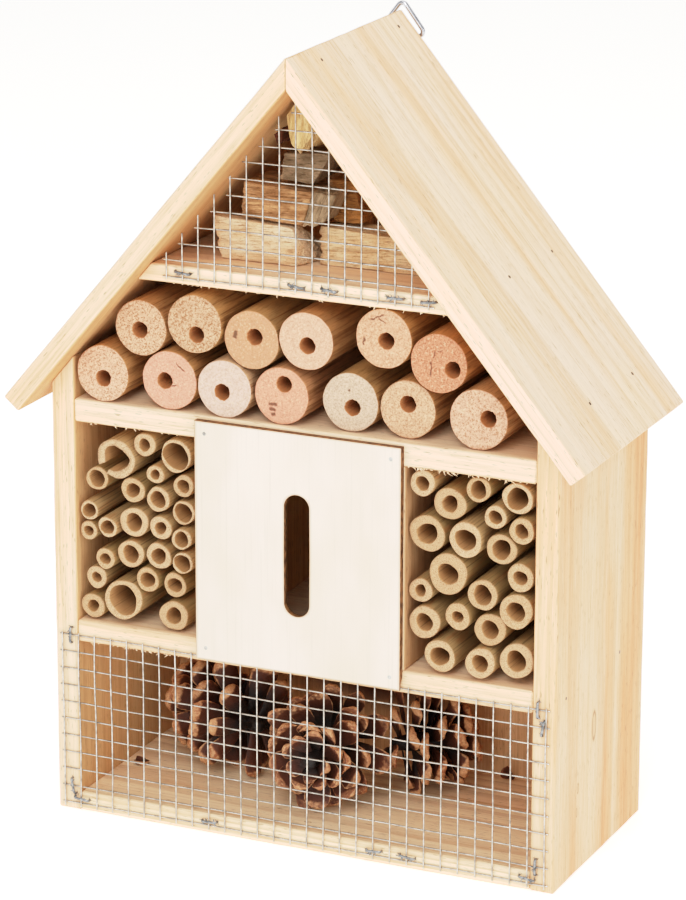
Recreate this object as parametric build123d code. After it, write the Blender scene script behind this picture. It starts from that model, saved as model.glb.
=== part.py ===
from build123d import *

import math
import os

# Insect hotel: a pitched-roof softwood house on a flat base, with four bays of nesting fill.
# Millimetres, +Z up, the open front faces -Y.
# The origin is the middle of the underside of the body, half way from front to back.

# ---- body ----
body_width = 240.0
body_depth = 105.0
side_thickness = 11.0
side_height = 200.0
bottom_thickness = 9.0
cone_bay_height = 72.0
lower_shelf_thickness = 10.0
cane_bay_height = 92.0
upper_shelf_thickness = 10.5
log_bay_height = 57.5
attic_shelf_thickness = 8.0
back_thickness = 5.0
divider_thickness = 10.0
chamber_width = 79.0

# ---- roof ----
roof_slope = 50.0
roof_thickness = 9.0
roof_eave = 25.3
roof_overhang = 14.0

# ---- front panel with its butterfly slot ----
panel_width = 97.6
panel_thickness = 3.0
panel_lap_low = 8.0
panel_reveal_top = 1.5
slot_width = 12.0
slot_height = 55.0
mesh_seat_clearance = 0.4

# ---- welded wire mesh ----
wire_radius = 0.38
wire_weld_gap = 0.02
mesh_pitch = 8.0
mesh_side_margin = 3.0
mesh_foot = 3.6
mesh_head_margin = 5.0
mesh_stub = 1.5
gable_pitch = 7.65
gable_first_wire = 62.4
gable_foot = 3.2
gable_trim = 2.0
gable_side_stub = 2.2

# ---- staples, nails, pins and screw ----
staple_crown = 8.4
staple_width = 1.2
staple_height = 0.6
staple_leg = 6.0
staple_clearance = 0.05
staple_lift = 2.3
staple_inset = 2.5
nail_radius = 0.7
nail_head_radius = 1.3
nail_head_height = 0.6
nail_stand = 0.12
nail_length = 28.0
pin_radius = 0.5
pin_head_radius = 1.1
pin_length = 14.0
pin_inset = 4.8
pin_drop = 2.5
pin_rise = 3.5
shelf_nail_grip = 4.0
side_nail_grip = 6.0
ridge_nail_length = 20.0
ridge_nail_drop = 7.0
back_nail_length = 16.0
screw_radius = 1.2
screw_head_radius = 2.2
screw_head_height = 1.4
screw_length = 5.5

# Nail places as shares of the body's depth, from the front.
frame_nail_depths = (0.105, 0.715)
shelf_nail_depths = (0.35, 0.81)
side_nail_depths = (0.27, 0.75)
ridge_nail_depths = (0.08, 0.84)
ridge_nail_stagger = 0.04

# ---- hanger ----
ring_wire_radius = 1.0
ring_half_width = 12.0
ring_height = 15.6
ring_corner_radius = 2.2
ring_axis_height = 2.0
knuckle_clearance = 0.08
strap_thickness = 0.7
strap_width = 9.0
strap_length = 14.0
strap_hole_clearance = 0.2
screw_drop = 8.0

# ---- fill ----
rod_gap = 0.25
fill_back_gap = 0.5
log_bore = 7.0
log_bore_depth = 80.0
cane_bore_depth = 78.0
cane_split_width = 3.6
cane_split_length = 60.0
cane_rows_left = 6
cane_rows_right = 5

# Canes: place across and up from the bay's lower left corner, diameter, bore as a share of it.
# The places are drawn for a bay of cane_plan_size and spread with it.
cane_plan_size = (59.5, 92.0)
left_cane_plan = [
    (20.0, 77.0, 18.4, 0.63),
    (32.5, 84.5, 11.6, 0.48),
    (49.0, 82.0, 16.4, 0.75),
    (10.0, 67.0, 11.8, 0.65),
    (27.5, 63.5, 12.4, 0.53),
    (39.0, 72.5, 9.2, 0.50),
    (52.0, 68.5, 11.0, 0.53),
    (40.0, 61.0, 12.6, 0.60),
    (51.5, 56.0, 12.2, 0.70),
    (5.5, 51.0, 9.4, 0.68),
    (15.0, 45.0, 10.2, 0.64),
    (27.5, 48.5, 15.0, 0.54),
    (41.0, 48.0, 11.6, 0.48),
    (51.5, 44.5, 10.4, 0.66),
    (5.0, 42.0, 9.2, 0.50),
    (13.5, 30.0, 10.2, 0.50),
    (25.5, 33.5, 14.2, 0.56),
    (40.0, 34.5, 13.2, 0.55),
    (51.5, 33.5, 10.8, 0.72),
    (8.5, 20.5, 11.2, 0.42),
    (34.0, 23.0, 12.0, 0.58),
    (47.0, 22.0, 12.2, 0.55),
    (7.0, 7.0, 12.4, 0.45),
    (22.5, 12.5, 20.0, 0.68),
    (46.5, 7.5, 15.0, 0.50),
]
right_cane_plan = [
    (9.5, 86.0, 12.4, 0.50),
    (32.5, 85.5, 12.2, 0.62),
    (51.5, 84.0, 15.0, 0.65),
    (18.0, 75.5, 15.8, 0.46),
    (40.5, 74.5, 11.2, 0.54),
    (53.0, 71.5, 12.8, 0.49),
    (9.0, 63.0, 17.8, 0.52),
    (27.0, 62.5, 16.8, 0.56),
    (46.0, 62.0, 14.8, 0.58),
    (18.5, 47.0, 19.6, 0.47),
    (52.5, 50.5, 13.4, 0.46),
    (6.5, 37.0, 11.8, 0.44),
    (34.0, 39.0, 15.2, 0.57),
    (51.0, 34.5, 16.6, 0.50),
    (8.0, 23.5, 16.0, 0.48),
    (24.0, 28.0, 12.8, 0.40),
    (39.5, 25.0, 15.8, 0.50),
    (15.0, 10.0, 15.6, 0.55),
    (36.0, 10.0, 14.8, 0.50),
    (51.0, 11.5, 17.0, 0.53),
]

# Logs: place across and up, diameter, bore off centre by (across, up), recess behind the front.
log_plan_size = (218.0, 57.5)
log_plan = [
    (14.0, 12.8, 25.4, (0.4, -2.1), 0.6),
    (46.0, 13.3, 26.4, (-2.2, -0.4), 1.5),
    (73.5, 13.0, 25.8, (-1.0, -1.5), 0.4),
    (99.7, 12.9, 25.6, (1.3, 5.3), 1.5),
    (131.0, 13.2, 26.2, (1.0, -2.2), 4.0),
    (157.2, 13.1, 25.8, (0.0, 2.5), 5.0),
    (190.5, 13.4, 26.6, (4.5, 1.0), 2.5),
    (33.0, 35.3, 24.8, (-0.4, -0.9), 0.8),
    (59.0, 40.4, 26.0, (1.0, -4.5), 0.3),
    (85.4, 35.3, 26.0, (1.5, 1.6), 1.5),
    (111.3, 38.8, 25.6, (0.7, -1.9), 1.0),
    (148.0, 44.2, 26.0, (1.2, -0.8), 0.5),
    (172.5, 36.4, 26.0, (6.4, -2.0), 1.0),
]

# Split wood in the gable, each as its front, side and plan outlines.
# Front points are (across, above the shelf), side points (behind the front, above the shelf),
# plan points (across, behind the front), drawn for an attic of attic_plan_size.
attic_plan_size = (70.5, 100.0, 84.0)
chunk_plans = {
    "chunk_low_left": (
        [(-47, 0.2), (-5.5, 0.2), (-5.5, 3), (-12, 17), (-51, 19)],
        [(19, 0), (19, 20), (23, 20), (43, 4), (43, 0)],
        [(-60, 19), (-10.5, 19), (-5.5, 31.5), (-5.5, 60), (-60, 60)],
    ),
    "chunk_low_right": (
        [(-3.5, 0.2), (50, 0.2), (47, 15), (-4, 17.5)],
        [(27, 0), (27, 18), (46, 16), (50, 0)],
        [(-4, 27), (50, 27), (46, 50), (-1, 50)],
    ),
    "chunk_mid_left": (
        [(-39, 19.6), (-8, 18.2), (-3, 33), (-36, 35)],
        [(20, 18), (20, 36), (50, 34), (54, 18)],
        [(-37, 20), (-2, 20), (-4, 54), (-40, 54)],
    ),
    "chunk_mid_grey": (
        [(-6.5, 18.7), (-2.5, 18.4), (4, 22), (9.5, 34), (-1.5, 34.6)],
        [(16, 18), (17, 35), (30, 35), (30, 18)],
        [(-7, 16), (10, 17), (9, 30), (-7, 30)],
    ),
    "chunk_mid_right": (
        [(1, 18.3), (16, 18), (11, 37), (-1.5, 37)],
        [(31, 18), (31, 38), (60, 36), (62, 18)],
        [(-2, 32), (15, 31), (17, 62), (-2, 62)],
    ),
    "chunk_top_grey": (
        [(-20, 37.5), (-3, 36.7), (6, 51.3), (-17, 49)],
        [(19, 36), (21, 52), (50, 50), (50, 36)],
        [(-20, 21), (5, 19), (6, 50), (-20, 50)],
    ),
    "chunk_peak": (
        [(-9.5, 56.5), (-3, 52), (4.5, 60.5), (4.5, 69.5), (-5, 74.5), (-10.3, 68.5)],
        [(6, 50), (6, 75), (32, 76), (34, 50)],
        [(-10, 6), (5, 7), (4, 34), (-10, 34)],
    ),
    "bark_scrap": (
        [(-13, 55.5), (-11, 57.5), (-11.3, 63.5), (-15.3, 60)],
        [(6, 55), (7, 64), (22, 63), (22, 55)],
        [(-16, 7), (-11, 6), (-11, 22), (-15, 22)],
    ),
}

# Pine cones: middle across, middle behind the front, widest radius, length, the tip's direction,
# drawn for a bay of cone_plan_size across, deep and high.
cone_tiers = 9
cone_gap = 0.8
cone_plan_size = (218.0, 100.0, 72.0)
cone_plan = {
    "pine_cone_left": (-70.0, 62.0, 26.0, 72.0, (-0.87, 0.49, 0.02)),
    "pine_cone_middle": (-3.0, 30.5, 26.0, 50.0, (0.12, -0.99, 0.03)),
    "pine_cone_right": (35.0, 72.0, 22.0, 44.0, (0.85, 0.5, 0.05)),
}

# ---- levels and faces worked out from the sizes above ----
half_width = body_width / 2
inner_half = half_width - side_thickness
front_y = -body_depth / 2
back_y = body_depth / 2
fill_back_y = back_y - back_thickness
lower_shelf_under = bottom_thickness + cone_bay_height
lower_shelf_top = lower_shelf_under + lower_shelf_thickness
upper_shelf_under = lower_shelf_top + cane_bay_height
upper_shelf_top = upper_shelf_under + upper_shelf_thickness
attic_shelf_under = upper_shelf_top + log_bay_height
attic_shelf_top = attic_shelf_under + attic_shelf_thickness
slope_angle = math.radians(roof_slope)
roof_length = half_width / math.cos(slope_angle) + roof_eave
ridge_inner = side_height + half_width * math.tan(slope_angle)
ridge_outer = ridge_inner + roof_thickness / math.cos(slope_angle)
divider_inner = chamber_width / 2
divider_outer = divider_inner + divider_thickness
panel_bottom = lower_shelf_top - panel_lap_low
panel_top = upper_shelf_top - panel_reveal_top
panel_front_y = front_y - panel_thickness
mesh_back_wire_y = front_y - wire_radius
mesh_front_wire_y = mesh_back_wire_y - 2 * wire_radius - wire_weld_gap
mesh_thickness = 4 * wire_radius + wire_weld_gap
mesh_columns = int((body_width - 2 * mesh_side_margin) // mesh_pitch) + 1
mesh_rows = int((lower_shelf_top - mesh_foot - mesh_head_margin) // mesh_pitch) + 1
mesh_left = -(mesh_columns - 1) * mesh_pitch / 2
mesh_top = mesh_foot + (mesh_rows - 1) * mesh_pitch
gable_base = attic_shelf_under + gable_foot


def roof_inner_z(x):
    """Height of the roof's inner face at a distance across."""
    return ridge_inner - abs(x) * math.tan(slope_angle)


def roof_inner_x(z):
    """Distance across of the roof's inner face at a height."""
    return (ridge_inner - z) / math.tan(slope_angle)


def block(x_low, x_high, y_low, y_high, z_low, z_high):
    """A box between two corners."""
    centre = ((x_low + x_high) / 2, (y_low + y_high) / 2, (z_low + z_high) / 2)
    return Pos(*centre) * Box(x_high - x_low, y_high - y_low, z_high - z_low)


def prism(corners, direction):
    """A closed flat outline carried along a vector."""
    outline = make_face(Polyline(*corners, close=True))
    reach = Vector(*direction)
    return extrude(outline, amount=reach.length, dir=reach.normalized())


def board_along_y(outline, y_low, y_high):
    """An outline in X and Z carried from one depth to another."""
    corners = [(x, y_low, z) for x, z in outline]
    return prism(corners, (0, y_high - y_low, 0))


def bar_between(start, end, radius):
    """A round bar from one point to another."""
    along = Vector(*end) - Vector(*start)
    place = Plane(origin=start, z_dir=along).location
    return place * Pos(0, 0, along.length / 2) * Cylinder(radius, along.length)


# ---- boards ----
def side_board(sign):
    """Upright side, its top bevelled to the roof's slope."""
    outline = [
        (sign * half_width, 0),
        (sign * half_width, side_height),
        (sign * inner_half, roof_inner_z(inner_half)),
        (sign * inner_half, 0),
    ]
    return board_along_y(outline, front_y, back_y)


def level_board(z_low, z_high):
    """A board that runs between the two sides, up to the back panel."""
    return block(-inner_half, inner_half, front_y, fill_back_y, z_low, z_high)


def attic_shelf():
    """Shelf under the gable, its ends cut to the roof's slope."""
    low = roof_inner_x(attic_shelf_under)
    high = roof_inner_x(attic_shelf_top)
    outline = [
        (-low, attic_shelf_under),
        (low, attic_shelf_under),
        (high, attic_shelf_top),
        (-high, attic_shelf_top),
    ]
    return board_along_y(outline, front_y, fill_back_y)


def divider(sign):
    """Upright board between the chamber and a cane bay."""
    near = sign * divider_inner
    far = sign * divider_outer
    low = min(near, far)
    high = max(near, far)
    return block(low, high, front_y, fill_back_y, lower_shelf_top, upper_shelf_under)


def roof_board(sign):
    """Roof board, mitred at the ridge and cut square at the eave."""
    eave_x = roof_length * math.cos(slope_angle)
    eave_z = ridge_outer - roof_length * math.sin(slope_angle)
    inward_x = roof_thickness * math.sin(slope_angle)
    inward_z = roof_thickness * math.cos(slope_angle)
    outline = [
        (0, ridge_inner),
        (0, ridge_outer),
        (sign * eave_x, eave_z),
        (sign * (eave_x - inward_x), eave_z - inward_z),
    ]
    return board_along_y(outline, front_y - roof_overhang, back_y)


def back_panel():
    """Thin back, let in between the sides and the roof boards."""
    outline = [
        (-inner_half, 0),
        (inner_half, 0),
        (inner_half, roof_inner_z(inner_half)),
        (0, ridge_inner),
        (-inner_half, roof_inner_z(inner_half)),
    ]
    return board_along_y(outline, fill_back_y, back_y)


def front_panel():
    """Thin panel over the chamber, with a tall round-ended slot and a seat for the mesh's edge."""
    half = panel_width / 2
    panel = block(-half, half, panel_front_y, front_y, panel_bottom, panel_top)
    slot_middle = (lower_shelf_top + upper_shelf_under) / 2
    slot = Plane.XZ * SlotOverall(slot_height, slot_width, rotation=90)
    cutter = extrude(slot, amount=panel_thickness, both=True)
    panel -= Pos(0, front_y, slot_middle) * cutter
    seat_top = mesh_top + mesh_stub + mesh_seat_clearance
    seat_depth = mesh_thickness + mesh_seat_clearance / 2
    if seat_top > panel_bottom:
        panel -= block(-half, half, front_y - seat_depth, front_y, panel_bottom, seat_top)
    return panel


# ---- wire mesh ----
def lower_mesh():
    """Mesh over the lowest bay: level wires against the wood, upright wires in front of them."""
    wires = []
    for column in range(mesh_columns):
        x = mesh_left + column * mesh_pitch
        foot = (x, mesh_front_wire_y, mesh_foot - mesh_stub)
        head = (x, mesh_front_wire_y, mesh_top + mesh_stub)
        wires.append(bar_between(foot, head, wire_radius))
    for row in range(mesh_rows):
        z = mesh_foot + row * mesh_pitch
        left = (mesh_left - mesh_stub, mesh_back_wire_y, z)
        right = (-mesh_left + mesh_stub, mesh_back_wire_y, z)
        wires.append(bar_between(left, right, wire_radius))
    return wires


def gable_columns():
    """Upright wires of the gable mesh, as their distances across."""
    count = int(2 * gable_first_wire // gable_pitch) + 1
    wires = [column * gable_pitch - gable_first_wire for column in range(count)]
    return [x for x in wires if gable_top(x) > gable_base + mesh_stub]


def gable_top(x):
    """Where an upright wire is cut off under the roof."""
    return roof_inner_z(x) - gable_trim / math.cos(slope_angle) - wire_radius


def gable_mesh():
    """Mesh over the gable, cut off parallel to the roof's inner faces."""
    columns = gable_columns()
    wires = []
    for x in columns:
        foot = (x, mesh_front_wire_y, gable_base - mesh_stub / 2)
        wires.append(bar_between(foot, (x, mesh_front_wire_y, gable_top(x)), wire_radius))
    z = gable_base
    while z < gable_top(0) - mesh_stub:
        reach = roof_inner_x(z) - gable_trim / math.sin(slope_angle) - wire_radius
        crossed = [x for x in columns if gable_top(x) > z + wire_radius]
        left = max(-reach, crossed[0] - gable_side_stub)
        right = min(reach, crossed[-1] + gable_side_stub)
        start = (left, mesh_back_wire_y, z)
        wires.append(bar_between(start, (right, mesh_back_wire_y, z), wire_radius))
        z += gable_pitch
    return wires


# ---- fasteners ----
def nail(point, inward, length, radius, head_radius):
    """A nail driven in at a point, its head just proud of the surface."""
    place = Plane(origin=point, z_dir=inward).location
    shank_length = length - nail_head_height
    head = Pos(0, 0, nail_head_height / 2) * Cylinder(head_radius, nail_head_height)
    shank = Pos(0, 0, nail_head_height + shank_length / 2) * Cylinder(radius, shank_length)
    return place * Pos(0, 0, -nail_stand) * (head + shank)


def frame_nails():
    """Nails through the sides into the ends of the two shelves."""
    levels = [
        (lower_shelf_under + lower_shelf_top) / 2,
        (upper_shelf_under + upper_shelf_top) / 2,
    ]
    nails = []
    for sign in (-1, 1):
        for z in levels:
            for share in frame_nail_depths:
                point = (sign * half_width, front_y + share * body_depth, z)
                nails.append(nail(point, (-sign, 0, 0), nail_length, nail_radius, nail_head_radius))
    return nails


def roof_nails():
    """Nails through the roof into the attic shelf, the sides and the other roof board."""
    shelf_z = (attic_shelf_under + attic_shelf_top) / 2
    side_x = half_width - side_thickness / 2
    rows = [
        (roof_inner_x(shelf_z), roof_thickness + shelf_nail_grip, shelf_nail_depths),
        (side_x, roof_thickness + side_nail_grip, side_nail_depths),
    ]
    nails = []
    for sign in (-1, 1):
        inward = (-sign * math.sin(slope_angle), 0, -math.cos(slope_angle))
        for inner_x, length, depths in rows:
            x = inner_x + roof_thickness * math.sin(slope_angle)
            z = roof_inner_z(inner_x) + roof_thickness * math.cos(slope_angle)
            for share in depths:
                point = (sign * x, front_y + share * body_depth, z)
                nails.append(nail(point, inward, length, nail_radius, nail_head_radius))
    return nails


def ridge_nails():
    """Nails near the ridge, through one roof board into the mitre of the other."""
    nails = []
    for sign in (-1, 1):
        inward = (-sign * math.sin(slope_angle), 0, -math.cos(slope_angle))
        x = sign * ridge_nail_drop * math.cos(slope_angle)
        z = ridge_outer - ridge_nail_drop * math.sin(slope_angle)
        for share in ridge_nail_depths:
            y = front_y + body_depth * (share + ridge_nail_stagger * sign)
            point = (x, y, z)
            nails.append(nail(point, inward, ridge_nail_length, nail_radius, nail_head_radius))
    return nails


def panel_pins():
    """Pins through the corners of the front panel into the two shelves."""
    pins = []
    reach = panel_width / 2 - pin_inset
    for x in (-reach, reach):
        for z in (lower_shelf_top - pin_drop, upper_shelf_under + pin_rise):
            point = (x, panel_front_y, z)
            pins.append(nail(point, (0, 1, 0), pin_length, pin_radius, pin_head_radius))
    return pins


def back_panel_nails():
    """Nails through the back panel into the rear edges of the shelves and the bottom board."""
    levels = [
        (bottom_thickness / 2, 0.8 * inner_half),
        ((lower_shelf_under + lower_shelf_top) / 2, 0.8 * inner_half),
        ((upper_shelf_under + upper_shelf_top) / 2, 0.8 * inner_half),
        ((attic_shelf_under + attic_shelf_top) / 2, 0.45 * inner_half),
    ]
    nails = []
    for z, reach in levels:
        for x in (-reach, reach):
            nails.append(nail((x, back_y, z), (0, -1, 0), back_nail_length, nail_radius, nail_head_radius))
    return nails


def staple(x, z, upright):
    """A staple over one wire: a flat crown in front of the mesh and two legs in the wood."""
    crown_back = front_y - mesh_thickness - staple_clearance
    crown_front = crown_back - staple_height
    half = staple_crown / 2
    thin = staple_width / 2
    if upright:
        crown = block(x - thin, x + thin, crown_front, crown_back, z - half, z + half)
        leg_places = [(x, z - half + thin), (x, z + half - thin)]
    else:
        crown = block(x - half, x + half, crown_front, crown_back, z - thin, z + thin)
        leg_places = [(x - half + thin, z), (x + half - thin, z)]
    for leg_x, leg_z in leg_places:
        low_x = leg_x - thin * 0.9
        high_x = leg_x + thin * 0.9
        low_z = leg_z - thin * 0.9
        high_z = leg_z + thin * 0.9
        crown += block(low_x, high_x, crown_front, front_y + staple_leg, low_z, high_z)
    return crown


def lower_mesh_staples():
    """Staples at the corners and along the foot of the lower mesh, each between two wires."""
    edge = -mesh_left - mesh_pitch / 2
    over_rows = [
        (-edge, mesh_rows - 1),
        (-edge, 1),
        (edge, 1),
        (edge, mesh_rows - 1),
        (edge + staple_inset, mesh_rows - 2),
    ]
    last = mesh_columns - 1
    over_columns = [1, last - 20, last - 10, last - 8, last - 1]
    staples = [staple(x, mesh_foot + row * mesh_pitch, True) for x, row in over_rows]
    for column in over_columns:
        x = mesh_left + column * mesh_pitch
        staples.append(staple(x, mesh_foot + staple_lift, False))
    return staples


def gable_mesh_staples():
    """Staples along the foot of the gable mesh."""
    columns = gable_columns()
    last = len(columns) - 1
    z = gable_base + staple_lift
    return [staple(columns[index], z, False) for index in (1, last // 2, last - 6, last - 2, last)]


# ---- hanger ----
ring_axis_y = back_y + strap_thickness + knuckle_clearance + ring_wire_radius
ring_axis_z = ridge_inner + ring_axis_height


def hanger_ring():
    """Triangular wire ring, standing on the straight side that runs through the knuckle."""
    corners = [
        (ring_half_width, ring_axis_y, ring_axis_z),
        (0, ring_axis_y, ring_axis_z + ring_height),
        (-ring_half_width, ring_axis_y, ring_axis_z),
    ]
    path = FilletPolyline(*corners, radius=ring_corner_radius, close=True)
    section = Plane(origin=path @ 0, z_dir=path % 0) * Circle(ring_wire_radius)
    return sweep(section, path=path)


def hanger_strap():
    """Folded strap: a flat plate on the back panel with a knuckle round the ring's wire."""
    inner = ring_wire_radius + knuckle_clearance
    outer = inner + strap_thickness
    knuckle = bar_between(
        (-strap_width / 2, ring_axis_y, ring_axis_z),
        (strap_width / 2, ring_axis_y, ring_axis_z),
        outer,
    )
    plate = block(
        -strap_width / 2,
        strap_width / 2,
        back_y,
        back_y + strap_thickness,
        ring_axis_z - strap_length,
        ring_axis_z,
    )
    bore = bar_between(
        (-strap_width, ring_axis_y, ring_axis_z),
        (strap_width, ring_axis_y, ring_axis_z),
        inner,
    )
    hole = bar_between(
        (0, back_y - 1, ring_axis_z - screw_drop),
        (0, back_y + 2 * strap_thickness, ring_axis_z - screw_drop),
        screw_radius + strap_hole_clearance,
    )
    return plate + knuckle - bore - hole


def hanger_screw():
    """Short screw that holds the strap on the back panel."""
    z = ring_axis_z - screw_drop
    face_y = back_y + strap_thickness
    head = bar_between((0, face_y, z), (0, face_y + screw_head_height, z), screw_head_radius)
    shank = bar_between((0, face_y - screw_length, z), (0, face_y, z), screw_radius)
    return head + shank


# ---- nesting fill ----
def settle(rods, walls):
    """Move rods apart and off the walls until all are clear, and thin them if they cannot be.

    A rod is [x, z, radius]. A wall is (nx, nz, limit), with nx x + nz z below the limit inside.
    """
    rods = [list(rod) for rod in rods]
    for attempt in range(60):
        for sweep in range(120):
            worst = 0.0
            for index, rod in enumerate(rods):
                for nx, nz, limit in walls:
                    excess = nx * rod[0] + nz * rod[1] + rod[2] + rod_gap - limit
                    if excess > 0:
                        rod[0] -= nx * excess
                        rod[1] -= nz * excess
                        worst = max(worst, excess)
                for other in rods[index + 1:]:
                    dx = other[0] - rod[0]
                    dz = other[1] - rod[1]
                    distance = math.hypot(dx, dz)
                    lap = rod[2] + other[2] + rod_gap - distance
                    if lap > 0:
                        rod[0] -= dx / distance * lap / 2
                        rod[1] -= dz / distance * lap / 2
                        other[0] += dx / distance * lap / 2
                        other[1] += dz / distance * lap / 2
                        worst = max(worst, lap)
            if worst < 0.02:
                return rods
        for rod in rods:
            rod[2] *= 0.99
    return rods


def bay_walls(x_low, x_high, z_low, z_high):
    """The four walls of a bay, for settle."""
    return [(-1, 0, -x_low), (1, 0, x_high), (0, -1, -z_low), (0, 1, z_high)]


def roof_walls():
    """The roof's two inner faces, for settle."""
    nx = math.sin(slope_angle)
    nz = math.cos(slope_angle)
    limit = ridge_inner * nz
    return [(nx, nz, limit), (-nx, nz, limit)]


def spread(plan, plan_size, x_low, x_high, z_low, z_high):
    """Places and radii drawn on a plan, spread to a bay's own size."""
    ratio_x = (x_high - x_low) / plan_size[0]
    ratio_z = (z_high - z_low) / plan_size[1]
    ratio = math.sqrt(ratio_x * ratio_z)
    return [[x_low + row[0] * ratio_x, z_low + row[1] * ratio_z, row[2] / 2 * ratio] for row in plan]


def cane_recess(index):
    """How far a cane's end sits behind the front, uneven from cane to cane."""
    return 0.4 + 2.6 * ((index * 0.618) % 1)


def cane(rod, bore_share, recess):
    """A hollow cane, open at the front and closed by a joint near the back."""
    x, z, radius = rod
    start_y = front_y + recess
    body = bar_between((x, start_y, z), (x, fill_back_y - fill_back_gap, z), radius)
    depth = min(cane_bore_depth, 0.85 * (fill_back_y - start_y))
    bore = bar_between((x, start_y - 1, z), (x, start_y + depth, z), radius * bore_share)
    return body - bore


def split_cane(whole, rod, recess):
    """The same cane with one wall cracked open along its length."""
    x, z, radius = rod
    half = cane_split_width / 2
    gap = Box(2 * radius, cane_split_length, 2 * half)
    turned = Rot(0, -40, 0) * Pos(-radius, cane_split_length / 2, 0) * gap
    return whole - Pos(x, front_y + recess - 1, z) * turned


def cane_bay(plan, x_low, x_high, row_count, cracked):
    """The canes of one bay, sorted upwards into rows of a few canes each."""
    box = (x_low, x_high, lower_shelf_top, upper_shelf_under)
    rods = settle(spread(plan, cane_plan_size, *box), bay_walls(*box))
    canes = []
    for index, (rod, row) in enumerate(zip(rods, plan)):
        recess = cane_recess(index)
        piece = cane(rod, row[3], recess)
        if index == cracked:
            piece = split_cane(piece, rod, recess)
        canes.append((rod[1], piece))
    canes.sort(key=lambda pair: pair[0])
    rows = [[] for row in range(row_count)]
    for index, (height, piece) in enumerate(canes):
        rows[index * row_count // len(canes)].append(piece)
    return rows


def logs():
    """Short logs with one drilled nesting hole each."""
    box = (-inner_half, inner_half, upper_shelf_top, attic_shelf_under)
    walls = bay_walls(*box) + roof_walls()
    rods = settle(spread(log_plan, log_plan_size, *box), walls)
    pieces = []
    for (x, z, radius), row in zip(rods, log_plan):
        off_x, off_z = row[3]
        start_y = front_y + row[4]
        body = bar_between((x, start_y, z), (x, fill_back_y - fill_back_gap, z), radius)
        depth = min(log_bore_depth, 0.85 * (fill_back_y - start_y))
        share = radius / (row[2] / 2)
        hole_x = x + off_x * share
        hole_z = z + off_z * share
        hole = bar_between((hole_x, start_y - 1, hole_z), (hole_x, start_y + depth, hole_z), log_bore / 2)
        pieces.append(body - hole)
    return pieces


def chunk(front, side, plan):
    """A split piece of wood that fills three outlines at once."""
    scale_x = roof_inner_x(attic_shelf_top) / attic_plan_size[0]
    scale_y = (fill_back_y - front_y) / attic_plan_size[1]
    scale_z = (ridge_inner - attic_shelf_top) / attic_plan_size[2]
    base = attic_shelf_top
    front_corners = [(x * scale_x, front_y, base + h * scale_z) for x, h in front]
    side_corners = [(-inner_half, front_y + d * scale_y, base + h * scale_z) for d, h in side]
    plan_corners = [(x * scale_x, front_y + d * scale_y, base) for x, d in plan]
    from_front = prism(front_corners, (0, body_depth - back_thickness, 0))
    from_side = prism(side_corners, (2 * inner_half, 0, 0))
    from_above = prism(plan_corners, (0, 0, ridge_inner - base))
    return from_front & from_side & from_above


def pine_cone(x, depth, radius, length, tip):
    """A pine cone's outer form: tiers of scales on a spindle, turned about its own axis."""
    bay = (2 * inner_half, fill_back_y - front_y, cone_bay_height)
    ratios = [own / drawn for own, drawn in zip(bay, cone_plan_size)]
    radius *= min(ratios)
    length *= min(ratios)
    points = [(0, 0, 0)]
    for tier in range(cone_tiers):
        low = tier / cone_tiers
        high = (tier + 0.75) / cone_tiers
        outer = radius * math.sin(math.pi * (0.12 + 0.86 * high) ** 0.8) ** 0.7
        points.append((0.78 * outer, 0, low * length))
        points.append((outer, 0, high * length))
    points.append((0, 0, length))
    outline = make_face(Polyline(*points, close=True))
    body = revolve(outline, Axis.Z)
    centre = (x * ratios[0], front_y + depth * ratios[1], bottom_thickness + radius + cone_gap)
    return Plane(origin=centre, z_dir=tip).location * Pos(0, 0, -length / 2) * body


def build_nodes():
    """Every piece under its node's name, as a list of solids."""
    nodes = {
        "left_side": [side_board(-1)],
        "right_side": [side_board(1)],
        "bottom_board": [level_board(0, bottom_thickness)],
        "lower_shelf": [level_board(lower_shelf_under, lower_shelf_top)],
        "upper_shelf": [level_board(upper_shelf_under, upper_shelf_top)],
        "attic_shelf": [attic_shelf()],
        "left_divider": [divider(-1)],
        "right_divider": [divider(1)],
        "left_roof": [roof_board(-1)],
        "right_roof": [roof_board(1)],
        "back_panel": [back_panel()],
        "front_panel": [front_panel()],
        "lower_mesh": lower_mesh(),
        "gable_mesh": gable_mesh(),
        "lower_mesh_staples": lower_mesh_staples(),
        "gable_mesh_staples": gable_mesh_staples(),
        "panel_pins": panel_pins(),
        "frame_nails": frame_nails(),
        "roof_nails": roof_nails() + ridge_nails(),
        "back_panel_nails": back_panel_nails(),
        "hanger_strap": [hanger_strap()],
        "hanger_ring": [hanger_ring()],
        "hanger_screw": [hanger_screw()],
    }
    for index, piece in enumerate(logs()):
        nodes[f"log_{index + 1:02d}"] = [piece]
    left_rows = cane_bay(left_cane_plan, -inner_half, -divider_outer, cane_rows_left, 0)
    for index, row in enumerate(left_rows):
        nodes[f"left_canes_{index + 1}"] = row
    right_rows = cane_bay(right_cane_plan, divider_outer, inner_half, cane_rows_right, None)
    for index, row in enumerate(right_rows):
        nodes[f"right_canes_{index + 1}"] = row
    for name, outlines in chunk_plans.items():
        nodes[name] = [chunk(*outlines)]
    for name, values in cone_plan.items():
        nodes[name] = [pine_cone(*values)]
    return nodes


os.makedirs("parts", exist_ok=True)
for node, solids in build_nodes().items():
    shape = solids[0] if len(solids) == 1 else Compound(children=solids)
    export_step(shape, f"parts/{node}.step")
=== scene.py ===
import math

import bpy
import numpy as np
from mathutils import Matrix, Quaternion, Vector


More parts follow.
